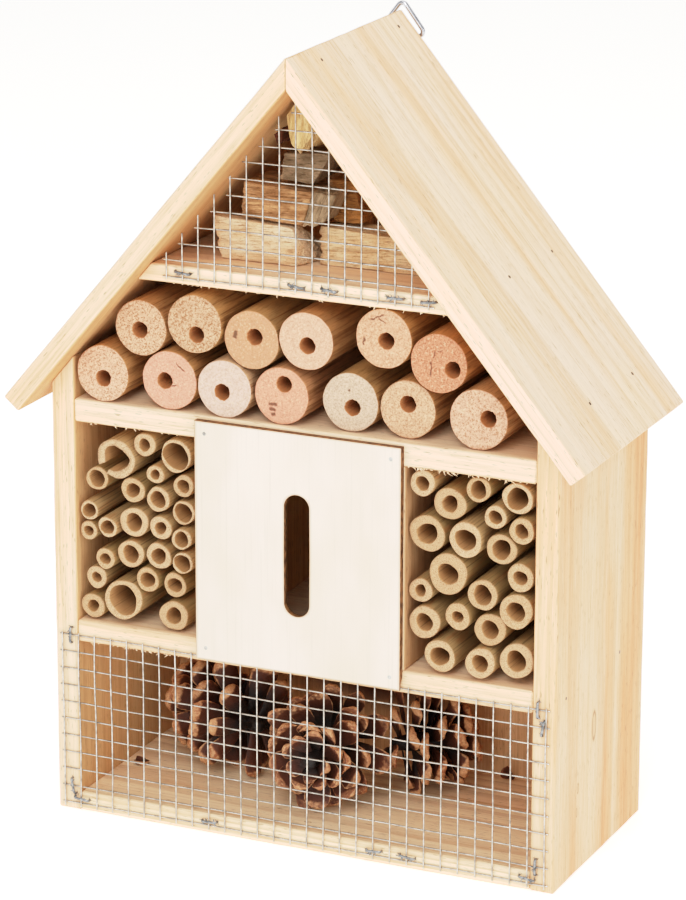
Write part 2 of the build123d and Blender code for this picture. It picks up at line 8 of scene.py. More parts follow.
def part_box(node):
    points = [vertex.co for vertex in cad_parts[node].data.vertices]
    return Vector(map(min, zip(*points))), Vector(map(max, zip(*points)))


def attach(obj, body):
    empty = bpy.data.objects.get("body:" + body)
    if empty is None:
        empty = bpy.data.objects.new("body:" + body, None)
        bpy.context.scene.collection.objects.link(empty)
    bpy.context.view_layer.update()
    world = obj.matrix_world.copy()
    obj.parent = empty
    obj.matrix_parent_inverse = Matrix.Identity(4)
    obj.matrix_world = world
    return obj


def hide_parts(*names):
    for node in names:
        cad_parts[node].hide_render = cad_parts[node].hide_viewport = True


# Looks for a wooden insect hotel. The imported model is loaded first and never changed:
# every piece below is worked out in millimetres from its corners, then put down in metres.
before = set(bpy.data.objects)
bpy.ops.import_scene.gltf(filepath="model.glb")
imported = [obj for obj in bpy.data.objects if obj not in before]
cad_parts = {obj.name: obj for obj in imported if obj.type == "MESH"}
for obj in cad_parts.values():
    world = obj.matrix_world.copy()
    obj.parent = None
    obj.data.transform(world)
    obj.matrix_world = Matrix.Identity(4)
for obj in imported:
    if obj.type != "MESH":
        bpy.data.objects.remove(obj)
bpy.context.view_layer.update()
mm = 0.001
slope = math.radians(50)


def boxOf(node):
    # lowest and highest corner in millimetres
    low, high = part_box(node)
    return np.array(low) / mm, np.array(high) / mm


def trianglesOf(node):
    # merged corner points in millimetres and the triangles between them
    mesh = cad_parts[node].data
    mesh.calc_loop_triangles()
    points = np.zeros(len(mesh.vertices) * 3)
    mesh.vertices.foreach_get("co", points)
    corners = np.zeros(len(mesh.loop_triangles) * 3, int)
    mesh.loop_triangles.foreach_get("vertices", corners)
    rounded = np.round(points.reshape(-1, 3) / mm, 3)
    merged, inverse = np.unique(rounded, axis=0, return_inverse=True)
    return merged, inverse.ravel()[corners].reshape(-1, 3)


def solidsOf(node):
    # one array of points for each separate solid: triangles pass on their lowest label until none changes
    points, triangles = trianglesOf(node)
    label = np.arange(len(points))
    while True:
        fresh = label.copy()
        np.minimum.at(fresh, triangles.ravel(), np.repeat(label[triangles].min(axis=1), 3))
        if (fresh == label).all():
            break
        label = fresh
    return [points[label == one] for one in np.unique(label[triangles])]


def rodsOf(node):
    # each round rod as its middle, radius, front and back, and the middle and radius of its bore
    rods = []
    for points in solidsOf(node):
        low, high = points.min(axis=0), points.max(axis=0)
        middle = (low + high)[[0, 2]] / 2
        radius = max(high[0] - low[0], high[2] - low[2]) / 2
        front = points[points[:, 1] < low[1] + 0.01][:, [0, 2]]
        rim = front[np.hypot(*(front - middle).T) < radius - 0.3]
        spread = rim.max(axis=0) - rim.min(axis=0)
        bore = (rim.max(axis=0) + rim.min(axis=0)) / 2
        rods.append({"middle": middle, "radius": radius, "front": low[1], "back": high[1],
                     "bore": bore, "boreRadius": spread.max() / 2})
    return sorted(rods, key=lambda rod: rod["middle"][1])


def softNoise(points, size, seed):
    # value noise from -1 to 1: random numbers on a lattice of cells, blended by a smooth step to each point
    table = np.random.default_rng(seed).random(8192) * 2 - 1
    place = points / np.array(size, float)
    cell = np.floor(place).astype(np.int64)
    share = place - cell
    share = share * share * (3 - 2 * share)
    total = np.zeros(points.shape[:-1])
    for corner in range(8):
        offset = np.array([corner & 1, corner >> 1 & 1, corner >> 2 & 1])
        number = ((cell + offset) * np.array([73856093, 19349663, 83492791])).sum(axis=-1) % 8192
        total += table[number] * np.prod(np.where(offset, share, 1 - share), axis=-1)
    return total


def turnOutward(points, quads, triangles):
    # a closed skin whose signed volume is below nothing is inside out, so its faces are reversed
    halves = np.concatenate([quads[:, [0, 1, 2]], quads[:, [0, 2, 3]], triangles])
    a, b, c = (points[halves[:, k]] - points.mean(axis=0) for k in range(3))
    if (a * np.cross(b, c)).sum() < 0:
        return quads[:, ::-1], triangles[:, ::-1]
    return quads, triangles


def skin(rings, masks=None, loop=False):
    # rings of points, rows by columns: each ring is closed and joined to the next by quads. The first and
    # last ring are closed by a fan to their own middle, or joined to each other where the skin is a loop.
    rows, columns = rings.shape[:2]
    index = np.arange(rows * columns).reshape(rows, columns)
    follow = np.roll(index, -1, axis=1)
    points = rings.reshape(-1, 3)
    masks = np.zeros((rows, columns, 4)) if masks is None else masks
    masks = np.broadcast_to(masks, (rows, columns, 4)).reshape(-1, 4)
    if loop:
        index = np.concatenate([index, index[:1]])
        follow = np.concatenate([follow, follow[:1]])
    quads = np.stack([index[:-1], follow[:-1], follow[1:], index[1:]], axis=-1).reshape(-1, 4)
    triangles = np.zeros((0, 3), int)
    if not loop:
        poles = np.array([rings[0].mean(axis=0), rings[-1].mean(axis=0)])
        start = np.stack([np.full(columns, len(points)), follow[0], index[0]], axis=-1)
        end = np.stack([np.full(columns, len(points) + 1), index[-1], follow[-1]], axis=-1)
        triangles = np.concatenate([start, end])
        masks = np.concatenate([masks, [masks[0], masks[-1]]])
        points = np.concatenate([points, poles])
    quads, triangles = turnOutward(points, quads, triangles)
    return {"points": points, "quads": quads, "triangles": triangles, "masks": masks}


def tube(path, radius, sides=8, normal=(0, 1, 0), flat=1.0, masks=None, loop=False):
    # a ring of points carried along a path: side vectors are the path's tangent crossed with a fixed normal,
    # and the ring may be flatter along the normal. Open ends are domed by two narrower rings.
    path = np.array(path, float)
    radius = np.broadcast_to(np.array(radius, float), len(path)).copy()
    if loop:
        tangent = np.roll(path, -1, axis=0) - np.roll(path, 1, axis=0)
    else:
        tangent = np.gradient(path, axis=0)
    tangent /= np.linalg.norm(tangent, axis=1)[:, None]
    if not loop:
        caps = radius[[0, -1]]
        path = np.concatenate([[path[0] - tangent[0] * caps[0] * 0.45], [path[0] - tangent[0] * caps[0] * 0.3],
                               path, [path[-1] + tangent[-1] * caps[1] * 0.3],
                               [path[-1] + tangent[-1] * caps[1] * 0.45]])
        tangent = np.concatenate([tangent[[0, 0]], tangent, tangent[[-1, -1]]])
        radius = np.concatenate([caps[:1] * 0.45, caps[:1] * 0.85, radius, caps[1:] * 0.85, caps[1:] * 0.45])
    side = np.cross(tangent, np.array(normal, float))
    side /= np.linalg.norm(side, axis=1)[:, None]
    other = np.cross(side, tangent)
    angle = np.arange(sides) / sides * 2 * math.pi
    rings = path[:, None] + radius[:, None, None] * (
        np.cos(angle)[None, :, None] * side[:, None] + flat * np.sin(angle)[None, :, None] * other[:, None])
    return skin(rings, masks, loop)


def spin(profile, place, direction, sides=32, masks=None):
    # pairs of (distance out, distance along) turned about an axis through a place
    along = np.array(direction, float) / np.linalg.norm(direction)
    side = np.cross(along, [0.31, 0.17, 0.93])
    side /= np.linalg.norm(side)
    other = np.cross(along, side)
    angle = np.arange(sides) / sides * 2 * math.pi
    round_ = np.cos(angle)[:, None] * side + np.sin(angle)[:, None] * other
    out, reach = np.array(profile, float).T
    rings = np.array(place, float) + out[:, None, None] * round_ + reach[:, None, None] * along
    return skin(rings, masks)


def edgeLines(length, rounding, step):
    # sample places along one edge of a board, close together over the rounded ends
    ends = np.array([0, 0.3, 0.65, 1, 1.5]) * rounding
    count = max(2, int((length - 3 * rounding) / step) + 1)
    inner = np.linspace(ends[-1], length - ends[-1], count + 1)
    return np.concatenate([ends[:-1], inner, length - ends[-2::-1]])


def board(corners, yLow, yHigh, inside, look, seed):
    # Four corners (across, up) carried along Y. Points on the six faces of a box of that size are pulled to
    # the rounding radius from its inset core, worn by noise along their normals and warped onto the corners.
    # The third mask is the share of a face's normal that points along one of the inside directions; it places
    # painted shade on the inner faces.
    corners = np.array(corners, float)
    edge = np.linalg.norm(np.roll(corners, -1, axis=0) - corners, axis=1)
    size = np.array([(edge[0] + edge[2]) / 2, (edge[1] + edge[3]) / 2, yHigh - yLow])
    lines = [edgeLines(length, look["rounding"], look["step"]) for length in size]
    grids, quads, count = [], [], 0
    for axis in range(3):
        u, v = [k for k in range(3) if k != axis]
        for level in (0, size[axis]):
            place = np.zeros((len(lines[u]), len(lines[v]), 3))
            place[..., axis] = level
            place[..., u] = lines[u][:, None]
            place[..., v] = lines[v][None, :]
            index = count + np.arange(place[..., 0].size).reshape(place.shape[:2])
            face = np.stack([index[:-1, :-1], index[1:, :-1], index[1:, 1:], index[:-1, 1:]], axis=-1)
            turned = (axis == 1) != (level == 0)
            quads.append(face.reshape(-1, 4)[:, ::-1] if turned else face.reshape(-1, 4))
            grids.append(place.reshape(-1, 3))
            count += index.size
    merged, inverse = np.unique(np.round(np.concatenate(grids), 5), axis=0, return_inverse=True)
    quads = inverse.ravel()[np.concatenate(quads)]
    core = np.clip(merged, look["rounding"], size - look["rounding"])
    away = merged - core
    away /= np.linalg.norm(away, axis=1)[:, None]
    worn = np.clip((1 - np.abs(away).max(axis=1)) / 0.29, 0, 1)
    height = look["wave"] * softNoise(merged, 24, seed) + 0.4 * look["wave"] * softNoise(merged, 6, seed + 1)
    height -= worn * look["chips"] * np.clip(softNoise(merged, 8, seed + 2) - 0.25, 0, 1)
    place = core + away * (look["rounding"] + height)[:, None]
    s, t = place[:, :1] / size[0], place[:, 1:2] / size[1]
    flat = (1 - s) * (1 - t) * corners[0] + s * (1 - t) * corners[1]
    flat = flat + s * t * corners[2] + (1 - s) * t * corners[3]
    points = np.column_stack([flat[:, 0], yLow + place[:, 2], flat[:, 1]])
    # the inner-face mask, which the finish turns into painted shade
    inner = (away[:, :2] @ np.array(inside, float).T).max(axis=1).clip(0, 1)
    masks = np.column_stack([worn, np.zeros(len(worn)), inner, np.ones(len(worn))])
    quads, triangles = turnOutward(points, quads, np.zeros((0, 3), int))
    return {"points": points, "quads": quads, "triangles": triangles, "masks": masks}


def makePiece(name, parts, finish, stands=(), body="house", smooth=True):
    # parts stacked into one mesh in metres, with their masks as one colour attribute, which carries real wear
    # and painted shade alike
    shift = np.cumsum([0] + [len(part["points"]) for part in parts])
    points = np.concatenate([part["points"] for part in parts]) * mm
    quads = np.concatenate([part["quads"] + shift[k] for k, part in enumerate(parts)])
    triangles = np.concatenate([part["triangles"] + shift[k] for k, part in enumerate(parts)])
    masks = np.concatenate([part["masks"] for part in parts])
    mesh = bpy.data.meshes.new(name)
    mesh.vertices.add(len(points))
    mesh.vertices.foreach_set("co", points.ravel())
    mesh.loops.add(quads.size + triangles.size)
    order = np.concatenate([quads.ravel(), triangles.ravel()]).astype(np.int32)
    mesh.loops.foreach_set("vertex_index", order)
    sizes = np.concatenate([np.full(len(quads), 4), np.full(len(triangles), 3)])
    mesh.polygons.add(len(sizes))
    mesh.polygons.foreach_set("loop_start", (np.cumsum(sizes) - sizes).astype(np.int32))
    mesh.polygons.foreach_set("use_smooth", np.full(len(sizes), smooth))
    mesh.update(calc_edges=True)
    wearAndShade = mesh.color_attributes.new("wearAndShade", "FLOAT_COLOR", "POINT")
    wearAndShade.data.foreach_set("color", masks.astype(np.float32).ravel())
    mesh.materials.append(finish)
    piece = bpy.data.objects.new(name, mesh)
    bpy.context.scene.collection.objects.link(piece)
    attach(piece, body)
    if stands:
        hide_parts(*stands)
    return piece


def tone(red, green, blue):
    # a screen colour, 0 to 255, as the linear colour that a shader takes
    share = np.array([red, green, blue]) / 255
    linear = np.where(share <= 0.04045, share / 12.92, ((share + 0.055) / 1.055) ** 2.4)
    return (*linear.tolist(), 1.0)


def shade(colour, amount):
    # a screen colour made darker or lighter by a factor, never past 250
    return tone(*[min(value * amount, 250) for value in colour])


class Wire:
    # one output socket of a material: arithmetic on wires and numbers adds Math nodes, so 1 - mask works
    def __init__(self, finish, socket):
        self.finish = finish
        self.socket = socket

    def __add__(self, other):
        return self.finish.math("ADD", self, other)

    def __sub__(self, other):
        return self.finish.math("SUBTRACT", self, other)

    def __rsub__(self, other):
        return self.finish.math("SUBTRACT", other, self)

    def __mul__(self, other):
        return self.finish.math("MULTIPLY", self, other)

    def __truediv__(self, other):
        return self.finish.math("DIVIDE", self, other)

    __radd__ = __add__
    __rmul__ = __mul__


class Finish:
    # a material built round its Principled shader
    def __init__(self, name, constants):
        self.material = bpy.data.materials.new(name)
        self.material.use_nodes = True
        self.tree = self.material.node_tree
        self.shader = self.tree.nodes["Principled BSDF"]
        for socket, value in constants.items():
            self.shader.inputs[socket].default_value = value

    def node(self, kind, settings=None, inputs=None, output=0):
        # any node: settings are attributes and set first, inputs are values or wires by socket
        made = self.tree.nodes.new(kind)
        for key, value in (settings or {}).items():
            setattr(made, key, value)
        for key, value in (inputs or {}).items():
            if isinstance(value, Wire):
                self.tree.links.new(value.socket, made.inputs[key])
            else:
                made.inputs[key].default_value = value
        return Wire(self, made.outputs[output])

    def math(self, operation, *values):
        return self.node("ShaderNodeMath", {"operation": operation}, dict(enumerate(values)))

    def place(self, turn=(0, 0, 0), shift=(0, 0, 0)):
        # the object's own coordinates in millimetres, turned and shifted
        here = self.node("ShaderNodeTexCoord", output="Object")
        turned = tuple(math.radians(angle) for angle in turn)
        return self.node("ShaderNodeMapping", {"vector_type": "POINT"},
                         {"Vector": here, "Location": shift, "Rotation": turned, "Scale": (1000, 1000, 1000)})

    def stretch(self, point, sizes):
        # divides each direction by a feature size in millimetres
        return self.node("ShaderNodeVectorMath", {"operation": "MULTIPLY"},
                         {0: point, 1: tuple(1 / size for size in sizes)})

    def less(self, point, centre):
        return self.node("ShaderNodeVectorMath", {"operation": "SUBTRACT"}, {0: point, 1: centre})

    def length(self, vector):
        return self.node("ShaderNodeVectorMath", {"operation": "LENGTH"}, {0: vector}, "Value")

    def noise(self, point, detail=3.0, roughness=0.55, output=0):
        return self.node("ShaderNodeTexNoise", {}, {"Vector": point, "Scale": 1.0, "Detail": detail,
                                                    "Roughness": roughness}, output)

    def cells(self, point, feature="F1", output="Distance"):
        return self.node("ShaderNodeTexVoronoi", {"feature": feature}, {"Vector": point, "Scale": 1.0}, output)

    def fade(self, value, low, high):
        # 0 below low and 1 above high, smooth between; reversed where low is above high
        return self.node("ShaderNodeMapRange", {"interpolation_type": "SMOOTHSTEP"},
                         {"Value": value, "From Min": low, "From Max": high})

    def mix(self, factor, first, second, mode="MIX"):
        return self.node("ShaderNodeMix", {"data_type": "RGBA", "blend_type": mode},
                         {0: factor, 6: first, 7: second}, 2)

    def parts(self, point):
        # the three numbers of a vector
        split = self.node("ShaderNodeSeparateXYZ", {}, {0: point}).socket.node
        return [Wire(self, socket) for socket in split.outputs]

    def wearAndShade(self):
        # the three masks that the mesh carries, real wear and painted shade among them
        colour = self.node("ShaderNodeAttribute", {"attribute_name": "wearAndShade"}, output="Color")
        split = self.node("ShaderNodeSeparateColor", {}, {0: colour}).socket.node
        return [Wire(self, socket) for socket in split.outputs]

    def bump(self, height, distance, strength=1.0, under=None):
        inputs = {"Height": height, "Distance": distance * mm, "Strength": strength}
        if under is not None:
            inputs["Normal"] = under
        return self.node("ShaderNodeBump", {}, inputs)

    def paint(self, **links):
        names = {"colour": "Base Color", "rough": "Roughness", "normal": "Normal", "metal": "Metallic"}
        for key, value in links.items():
            self.tree.links.new(value.socket, self.shader.inputs[names[key]])
        return self.material


# sizes of the wood's features in millimetres: along the grain, across it and through it
grain = {"wander": (260, 50, 50), "fibre": (22, 0.7, 0.7), "line": (130, 1.3, 1.3), "band": (230, 17, 17),
         "blotch": (70, 30, 30), "pore": (5.5, 0.5, 0.5), "wavy": (30, 9, 9)}


def woodFinish(name, look):
    # Sawn softwood, solid through the piece: growth rings about a distant pith that runs along local X,
    # fine straight fibres, short pores, slow warm bands and a few small knots. The look's turn brings the
    # grain onto X.
    finish = Finish(name, {"Specular IOR Level": 0.25})
    local = finish.place(look["turn"], look["shift"])
    wander = finish.noise(finish.stretch(local, grain["wander"]), 2.0)
    fibre = finish.noise(finish.stretch(local, grain["fibre"]), 3.0, 0.6)
    line = finish.noise(finish.stretch(local, grain["line"]), 3.0, 0.65)
    band = finish.noise(finish.stretch(local, grain["band"]), 3.0)
    blotch = finish.noise(finish.stretch(local, grain["blotch"]), 2.0)
    pore = finish.noise(finish.stretch(local, grain["pore"]), 1.0)
    along, across, deep = finish.parts(local)
    out = finish.math("SQRT", across * across + deep * deep) + (wander - 0.5) * look["wander"]
    ring = finish.math("FRACT", out / look["ringWidth"])
    late = finish.fade(ring, 0.3, 0.93) * finish.fade(ring, 1.0, 0.94) * (0.4 + band)
    colour = finish.mix(finish.fade(blotch, 0.3, 0.72), tone(*look["pale"]), tone(*look["cool"]))
    colour = finish.mix(finish.fade(band, 0.42, 0.72) * look["bandStrength"], colour, tone(*look["warm"]))
    colour = finish.mix(late * look["ringStrength"], colour, tone(*look["ring"]))
    colour = finish.mix(finish.fade(line, 0.52, 0.74) * look["lineStrength"], colour, tone(*look["ring"]))
    colour = finish.mix(finish.fade(fibre, 0.5, 0.8) * look["fibreStrength"], colour, tone(*look["ring"]))
    colour = finish.mix(finish.fade(fibre, 0.46, 0.25) * 0.3, colour, tone(*look["light"]))
    colour = finish.mix(finish.fade(pore, 0.65, 0.75) * look["poreStrength"], colour, tone(*look["pore"]))
    for x, y, z, length, size in look["knots"]:
        spot = finish.stretch(finish.less(local, (x, y, z)), (length, size, size))
        reach = finish.length(spot) + (fibre - 0.5) * 0.7
        colour = finish.mix(finish.fade(reach, 1.6, 0.7) * 0.35, colour, tone(*look["ring"]))
        rim = finish.fade(reach, 0.72, 0.92) * finish.fade(reach, 1.2, 0.98)
        colour = finish.mix(rim * 0.75, colour, tone(150, 102, 66))
    edge, _, inner = finish.wearAndShade()
    colour = finish.mix(edge * 0.14, colour, tone(*look["ring"]))
    # inner faces are multiplied by the look's inner tint: painted shade inside the house and under the shelves
    colour = finish.mix(inner, colour, tone(*look["inner"]), "MULTIPLY")
    for centre, sizes, tint, strength, within in look["patches"]:
        # a soft patch: an ellipsoid that multiplies the colour, kept to the inner face where within is 1. On the
        # right side the patches are pale tints of the wood; on the back panel a dark patch is painted shade
        # behind the cones.
        spot = finish.stretch(finish.less(local, centre), sizes)
        reach = finish.length(spot) + (blotch - 0.5) * 0.5
        share = finish.fade(reach, 1.15, 0.6) * strength * (inner * within + (1 - within))
        colour = finish.mix(share, colour, tone(*tint), "MULTIPLY")
    rough = 0.55 + fibre * 0.26
    normal = finish.bump(fibre * 0.5 + late * 0.2 - finish.fade(pore, 0.7, 0.8) * 0.5, 0.09, look["bump"])
    wavy = finish.noise(finish.stretch(local, grain["wavy"]), 2.0)
    normal = finish.bump(wavy, 0.4, 0.2, normal)
    return finish.paint(colour=colour, rough=rough, normal=normal)


print("frame read:", len(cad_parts), "nodes")

softwood = {
    "light": (247, 223, 192), "pale": (241, 207, 170), "cool": (239, 209, 173), "warm": (235, 186, 141),
    "ring": (190, 136, 92), "pore": (108, 68, 38), "ringWidth": 4.2, "wander": 9, "ringStrength": 0.26,
    "lineStrength": 0.42, "fibreStrength": 0.6, "bandStrength": 0.6, "poreStrength": 0.75, "bump": 0.6,
    # inner is the tint multiplied onto inner faces, a painted shade
    "turn": (0, 0, 0), "shift": (0, 0, 0), "knots": [], "inner": (240, 221, 192),
    "patches": [],
}
boardForm = {"rounding": 1.0, "step": 5.0, "wave": 0.1, "chips": 0.9}

sideLow, sideHigh = boxOf("left_side")
sideOuterTop = sideHigh[2] - (sideHigh[0] - sideLow[0]) * math.tan(slope)
atticLow, atticHigh = boxOf("attic_shelf")
atticCut = (atticHigh[2] - atticLow[2]) / math.tan(slope)
roofLow, roofHigh = boxOf("right_roof")
roofThick = 9.0
ridgeInner = roofHigh[2] - roofThick / math.cos(slope)
eaveTop = roofLow[2] + roofThick * math.cos(slope)
eaveInner = roofHigh[0] - roofThick * math.sin(slope)


def sideCorners(sign):
    # a side board is cut to the roof's slope, so its outer edge is lower than its inner one
    outer, inner = -sideLow[0], -sideHigh[0]
    return [(sign * outer, sideLow[2]), (sign * inner, sideLow[2]), (sign * inner, sideHigh[2]),
            (sign * outer, sideOuterTop)]


def roofCorners(sign):
    # a roof board is plumb at the ridge and square at the eave
    return [(0, ridgeInner), (sign * eaveInner, roofLow[2]), (sign * roofHigh[0], eaveTop), (0, roofHigh[2])]


def boxCorners(node):
    # a plain square board
    low, high = boxOf(node)
    return [(low[0], low[2]), (high[0], low[2]), (high[0], high[2]), (low[0], high[2])]


# each board: its four corners, how its grain is turned onto local X, the pith's offset, and its own hues
boards = {
    "left_side": {"corners": sideCorners(-1), "turn": (0, 90, 0), "shift": (0, -18, -40),
                  "pale": (237, 200, 161), "cool": (235, 202, 165)},
    "right_side": {"corners": sideCorners(1), "turn": (0, 90, 0), "shift": (0, 20, 210),
                   "pale": (230, 186, 144),
                   "cool": (229, 194, 156), "warm": (226, 160, 113), "bandStrength": 0.9,
                   "patches": [((100, 58, 90), (300, 16, 9000), (250, 228, 208), 0.8, 0),
                               ((30, 30, 90), (120, 7, 9000), (250, 230, 212), 0.7, 0)],
                   "knots": [(62, 12.7, 90, 6.5, 2.2), (39, -5, 90, 2.4, 0.9), (28, -6, 90, 2.0, 0.7)]},
    "bottom_board": {"corners": boxCorners("bottom_board"), "turn": (0, 0, 0), "shift": (0, 20, -70),
                     "ringStrength": 0.5, "pale": (250, 219, 178), "cool": (248, 218, 178),
                     "light": (252, 232, 200), "knots": [(-0.7, -22.4, -61, 1.6, 0.7)]},
    "lower_shelf": {"corners": boxCorners("lower_shelf"), "turn": (0, 0, 0), "shift": (90, -26, -150)},
    "upper_shelf": {"corners": boxCorners("upper_shelf"), "turn": (0, 0, 0), "shift": (30, 22, -260)},
    "attic_shelf": {"corners": [(atticLow[0], atticLow[2]), (atticHigh[0], atticLow[2]),
                                (atticHigh[0] - atticCut, atticHigh[2]), (atticLow[0] + atticCut, atticHigh[2])],
                    "turn": (0, 0, 0), "shift": (0, -30, -350),
                    "pale": (250, 216, 178), "cool": (248, 216, 180)},
    "left_divider": {"corners": boxCorners("left_divider"), "turn": (0, 90, 0), "shift": (0, 12, -90)},
    "right_divider": {"corners": boxCorners("right_divider"), "turn": (0, 90, 0), "shift": (20, -14, 120),
                      # a darker painted shade on this divider's inner faces
                      "inner": (206, 184, 160)},
    "left_roof": {"corners": roofCorners(-1), "turn": (0, 50, 0), "shift": (0, 26, -290),
                  "pale": (231, 190, 151), "cool": (232, 196, 158)},
    "right_roof": {"corners": roofCorners(1), "turn": (0, -50, 0), "shift": (0, 34, -320),
                   "pale": (243, 206, 168), "cool": (242, 208, 176), "warm": (240, 188, 146),
                   "bandStrength": 0.9, "lineStrength": 0.42},
}
# which way a board's inner face looks (across, up), by its name's last word, for the painted shade there; half
# as strong under a shelf
insideFaces = {"side": [(1, 0)], "roof": [(0, -1)], "divider": [(1, 0), (-1, 0)], "board": [(0, -0.5)],
               "shelf": [(0, -0.5)]}
for index, (node, plan) in enumerate(boards.items()):
    low, high = boxOf(node)
    look = {**softwood, **plan}
    made = board(plan["corners"], low[1], high[1], insideFaces[node.split("_")[1]], boardForm, 20 + 7 * index)
    makePiece("wood_" + node, [made], woodFinish("grain_" + node, look), [node])
print("boards made:", len(boards))

def plate(outline, yLow, yHigh, rounding, look, seed):
    # a convex outline (across, up) sampled along its edges and carried along Y: rings shrink to the middle on
    # both faces and round over at the rim
    outline = np.array(outline, float)
    follow = np.roll(outline, -1, axis=0)
    share = np.linspace(0, 1, look["samples"], endpoint=False)[None, :, None]
    rim = (outline[:, None] * (1 - share) + follow[:, None] * share).reshape(-1, 2)
    middle = outline.mean(axis=0)
    reach = np.linalg.norm(rim - middle, axis=1)
    inset = np.array([0.97, 0.75, 0.5, 0.25, 0.06])
    bend = np.linspace(0, math.pi / 2, 4)
    rows = [(1 - k, None, yHigh) for k in inset]
    rows += [(1, 1 - math.sin(b), yHigh - rounding * (1 - math.cos(b))) for b in bend]
    rows += [(1, 1 - math.sin(b), yLow + rounding * (1 - math.cos(b))) for b in bend[::-1]]
    rows += [(1 - k, None, yLow) for k in inset[::-1]]
    rings = []
    for size, pulled, y in rows:
        scale = size if pulled is None else 1 - pulled * rounding / reach[:, None]
        flat = middle + (rim - middle) * scale
        rings.append(np.column_stack([flat[:, 0], np.full(len(flat), y), flat[:, 1]]))
    rings = np.array(rings)
    rings[..., 1] += look["wave"] * softNoise(rings, 40, seed)
    masks = np.zeros(rings.shape[:2] + (4,))
    masks[5:13, :, 0] = 1
    # the third mask marks the inner face, for the painted shade there
    masks[12:, :, 2] = 1
    return skin(rings, masks)


backForm = {"samples": 24, "wave": 0.12, "rounding": 0.5}
backLow, backHigh = boxOf("back_panel")
backOutline = [(backLow[0], backLow[2]), (backHigh[0], backLow[2]), (backHigh[0], sideHigh[2]),
               (0, backHigh[2]), (backLow[0], sideHigh[2])]
backLook = dict(softwood, turn=(0, 90, 0), shift=(0, 60, 20), ringWidth=7.5, ringStrength=0.5,
                pale=(234, 196, 156), cool=(228, 192, 153), warm=(216, 168, 126), ring=(162, 116, 80),
                # inner is a faint painted shade on the back panel's inner face
                inner=(253, 240, 222),
                # a dark painted shade on the inner face behind the cones, where the lower shelf and the cones
                # cast shadow
                patches=[((62, 0, 30), (34, 9000, 62), (84, 50, 34), 1.0, 1)])
makePiece("wood_back_panel", [plate(backOutline, backLow[1], backHigh[1], backForm["rounding"], backForm, 5)],
          woodFinish("grain_back_panel", backLook), ["back_panel"])


def slottedPanel(low, high, slotMiddle, look):
    # a ring of columns round the slot and a matching ring round the panel's outline; rows run from the slot's
    # wall over the front face, round the outer edge and over the back face to the slot again
    columns = look["columns"]
    angle = (np.arange(columns) + 0.5) / columns * 2 * math.pi
    straight = look["slotHeight"] / 2 - look["slotWidth"] / 2
    slot = look["slotWidth"] / 2 * np.column_stack([np.cos(angle), np.sin(angle)])
    slot[:, 1] += straight * np.clip(np.sin(angle) * 9, -1, 1) + slotMiddle
    middle = np.array([0.0, slotMiddle])
    half = np.array([[high[0], high[2] - slotMiddle], [-low[0], slotMiddle - low[2]]])
    ray = np.column_stack([np.cos(angle) * 0.62, np.sin(angle)])
    room = np.where(ray > 0, half[0], half[1]) / np.abs(ray)
    outer = middle + ray * room.min(axis=1)[:, None]
    for corner in [(x, z) for x in (low[0], high[0]) for z in (low[2], high[2])]:
        outer[np.argmin(np.linalg.norm(outer - corner, axis=1))] = corner

    def ring(flat, y):
        return np.column_stack([flat[:, 0], np.broadcast_to(y, len(flat)), flat[:, 1]])

    def inset(flat, amount):
        away = flat - middle
        return flat - np.sign(away) * np.minimum(amount, np.abs(away))

    front, back = low[1], high[1]
    seatTop = low[2] + look["seatHeight"]
    behind = np.where(outer[:, 1] < seatTop, back - look["seatDepth"], back)
    raised = np.column_stack([outer[:, 0], np.maximum(outer[:, 1], seatTop)])
    soft = look["rounding"]
    grow = slot + (slot - middle) / np.linalg.norm(slot - middle, axis=1)[:, None] * soft
    rows = [(ring(slot, back), 1), (ring(slot, (front + back) / 2), 1), (ring(slot, front + soft), 1),
            (ring(slot * 0.5 + grow * 0.5, front + soft * 0.25), 1), (ring(grow, front), 0.45)]
    for share in (0.03, 0.06, 0.12, 0.3, 0.5, 0.7, 0.88, 0.97):
        rows.append((ring(grow * (1 - share) + inset(outer, soft) * share, front), 0))
    rows += [(ring(inset(outer, soft), front), 0.45), (ring(inset(outer, soft * 0.3), front + soft * 0.3), 1),
             (ring(outer, front + soft), 1), (ring(outer, (front + behind) / 2), 1), (ring(outer, behind), 1),
             (ring(inset(raised, 0.5), behind), 0), (ring(inset(raised, 0.6), back), 0)]
    rings = np.array([row for row, mask in rows])
    masks = np.zeros(rings.shape[:2] + (4,))
    masks[..., 1] = np.array([mask for row, mask in rows])[:, None]
    rings[..., 1] += look["wave"] * softNoise(rings * [1, 0, 1], 30, 3)
    return skin(rings, masks, loop=True)


panelForm = {"columns": 256, "slotHeight": 55.0, "slotWidth": 12.0, "rounding": 0.25, "wave": 0.05,
             "seatHeight": 4.2, "seatDepth": 2.3}
panelLook = {"face": (229, 218, 199), "faceWarm": (222, 205, 179), "line": (200, 172, 140),
             "char": (69, 38, 16), "burn": (140, 94, 55), "halo": (190, 135, 89)}


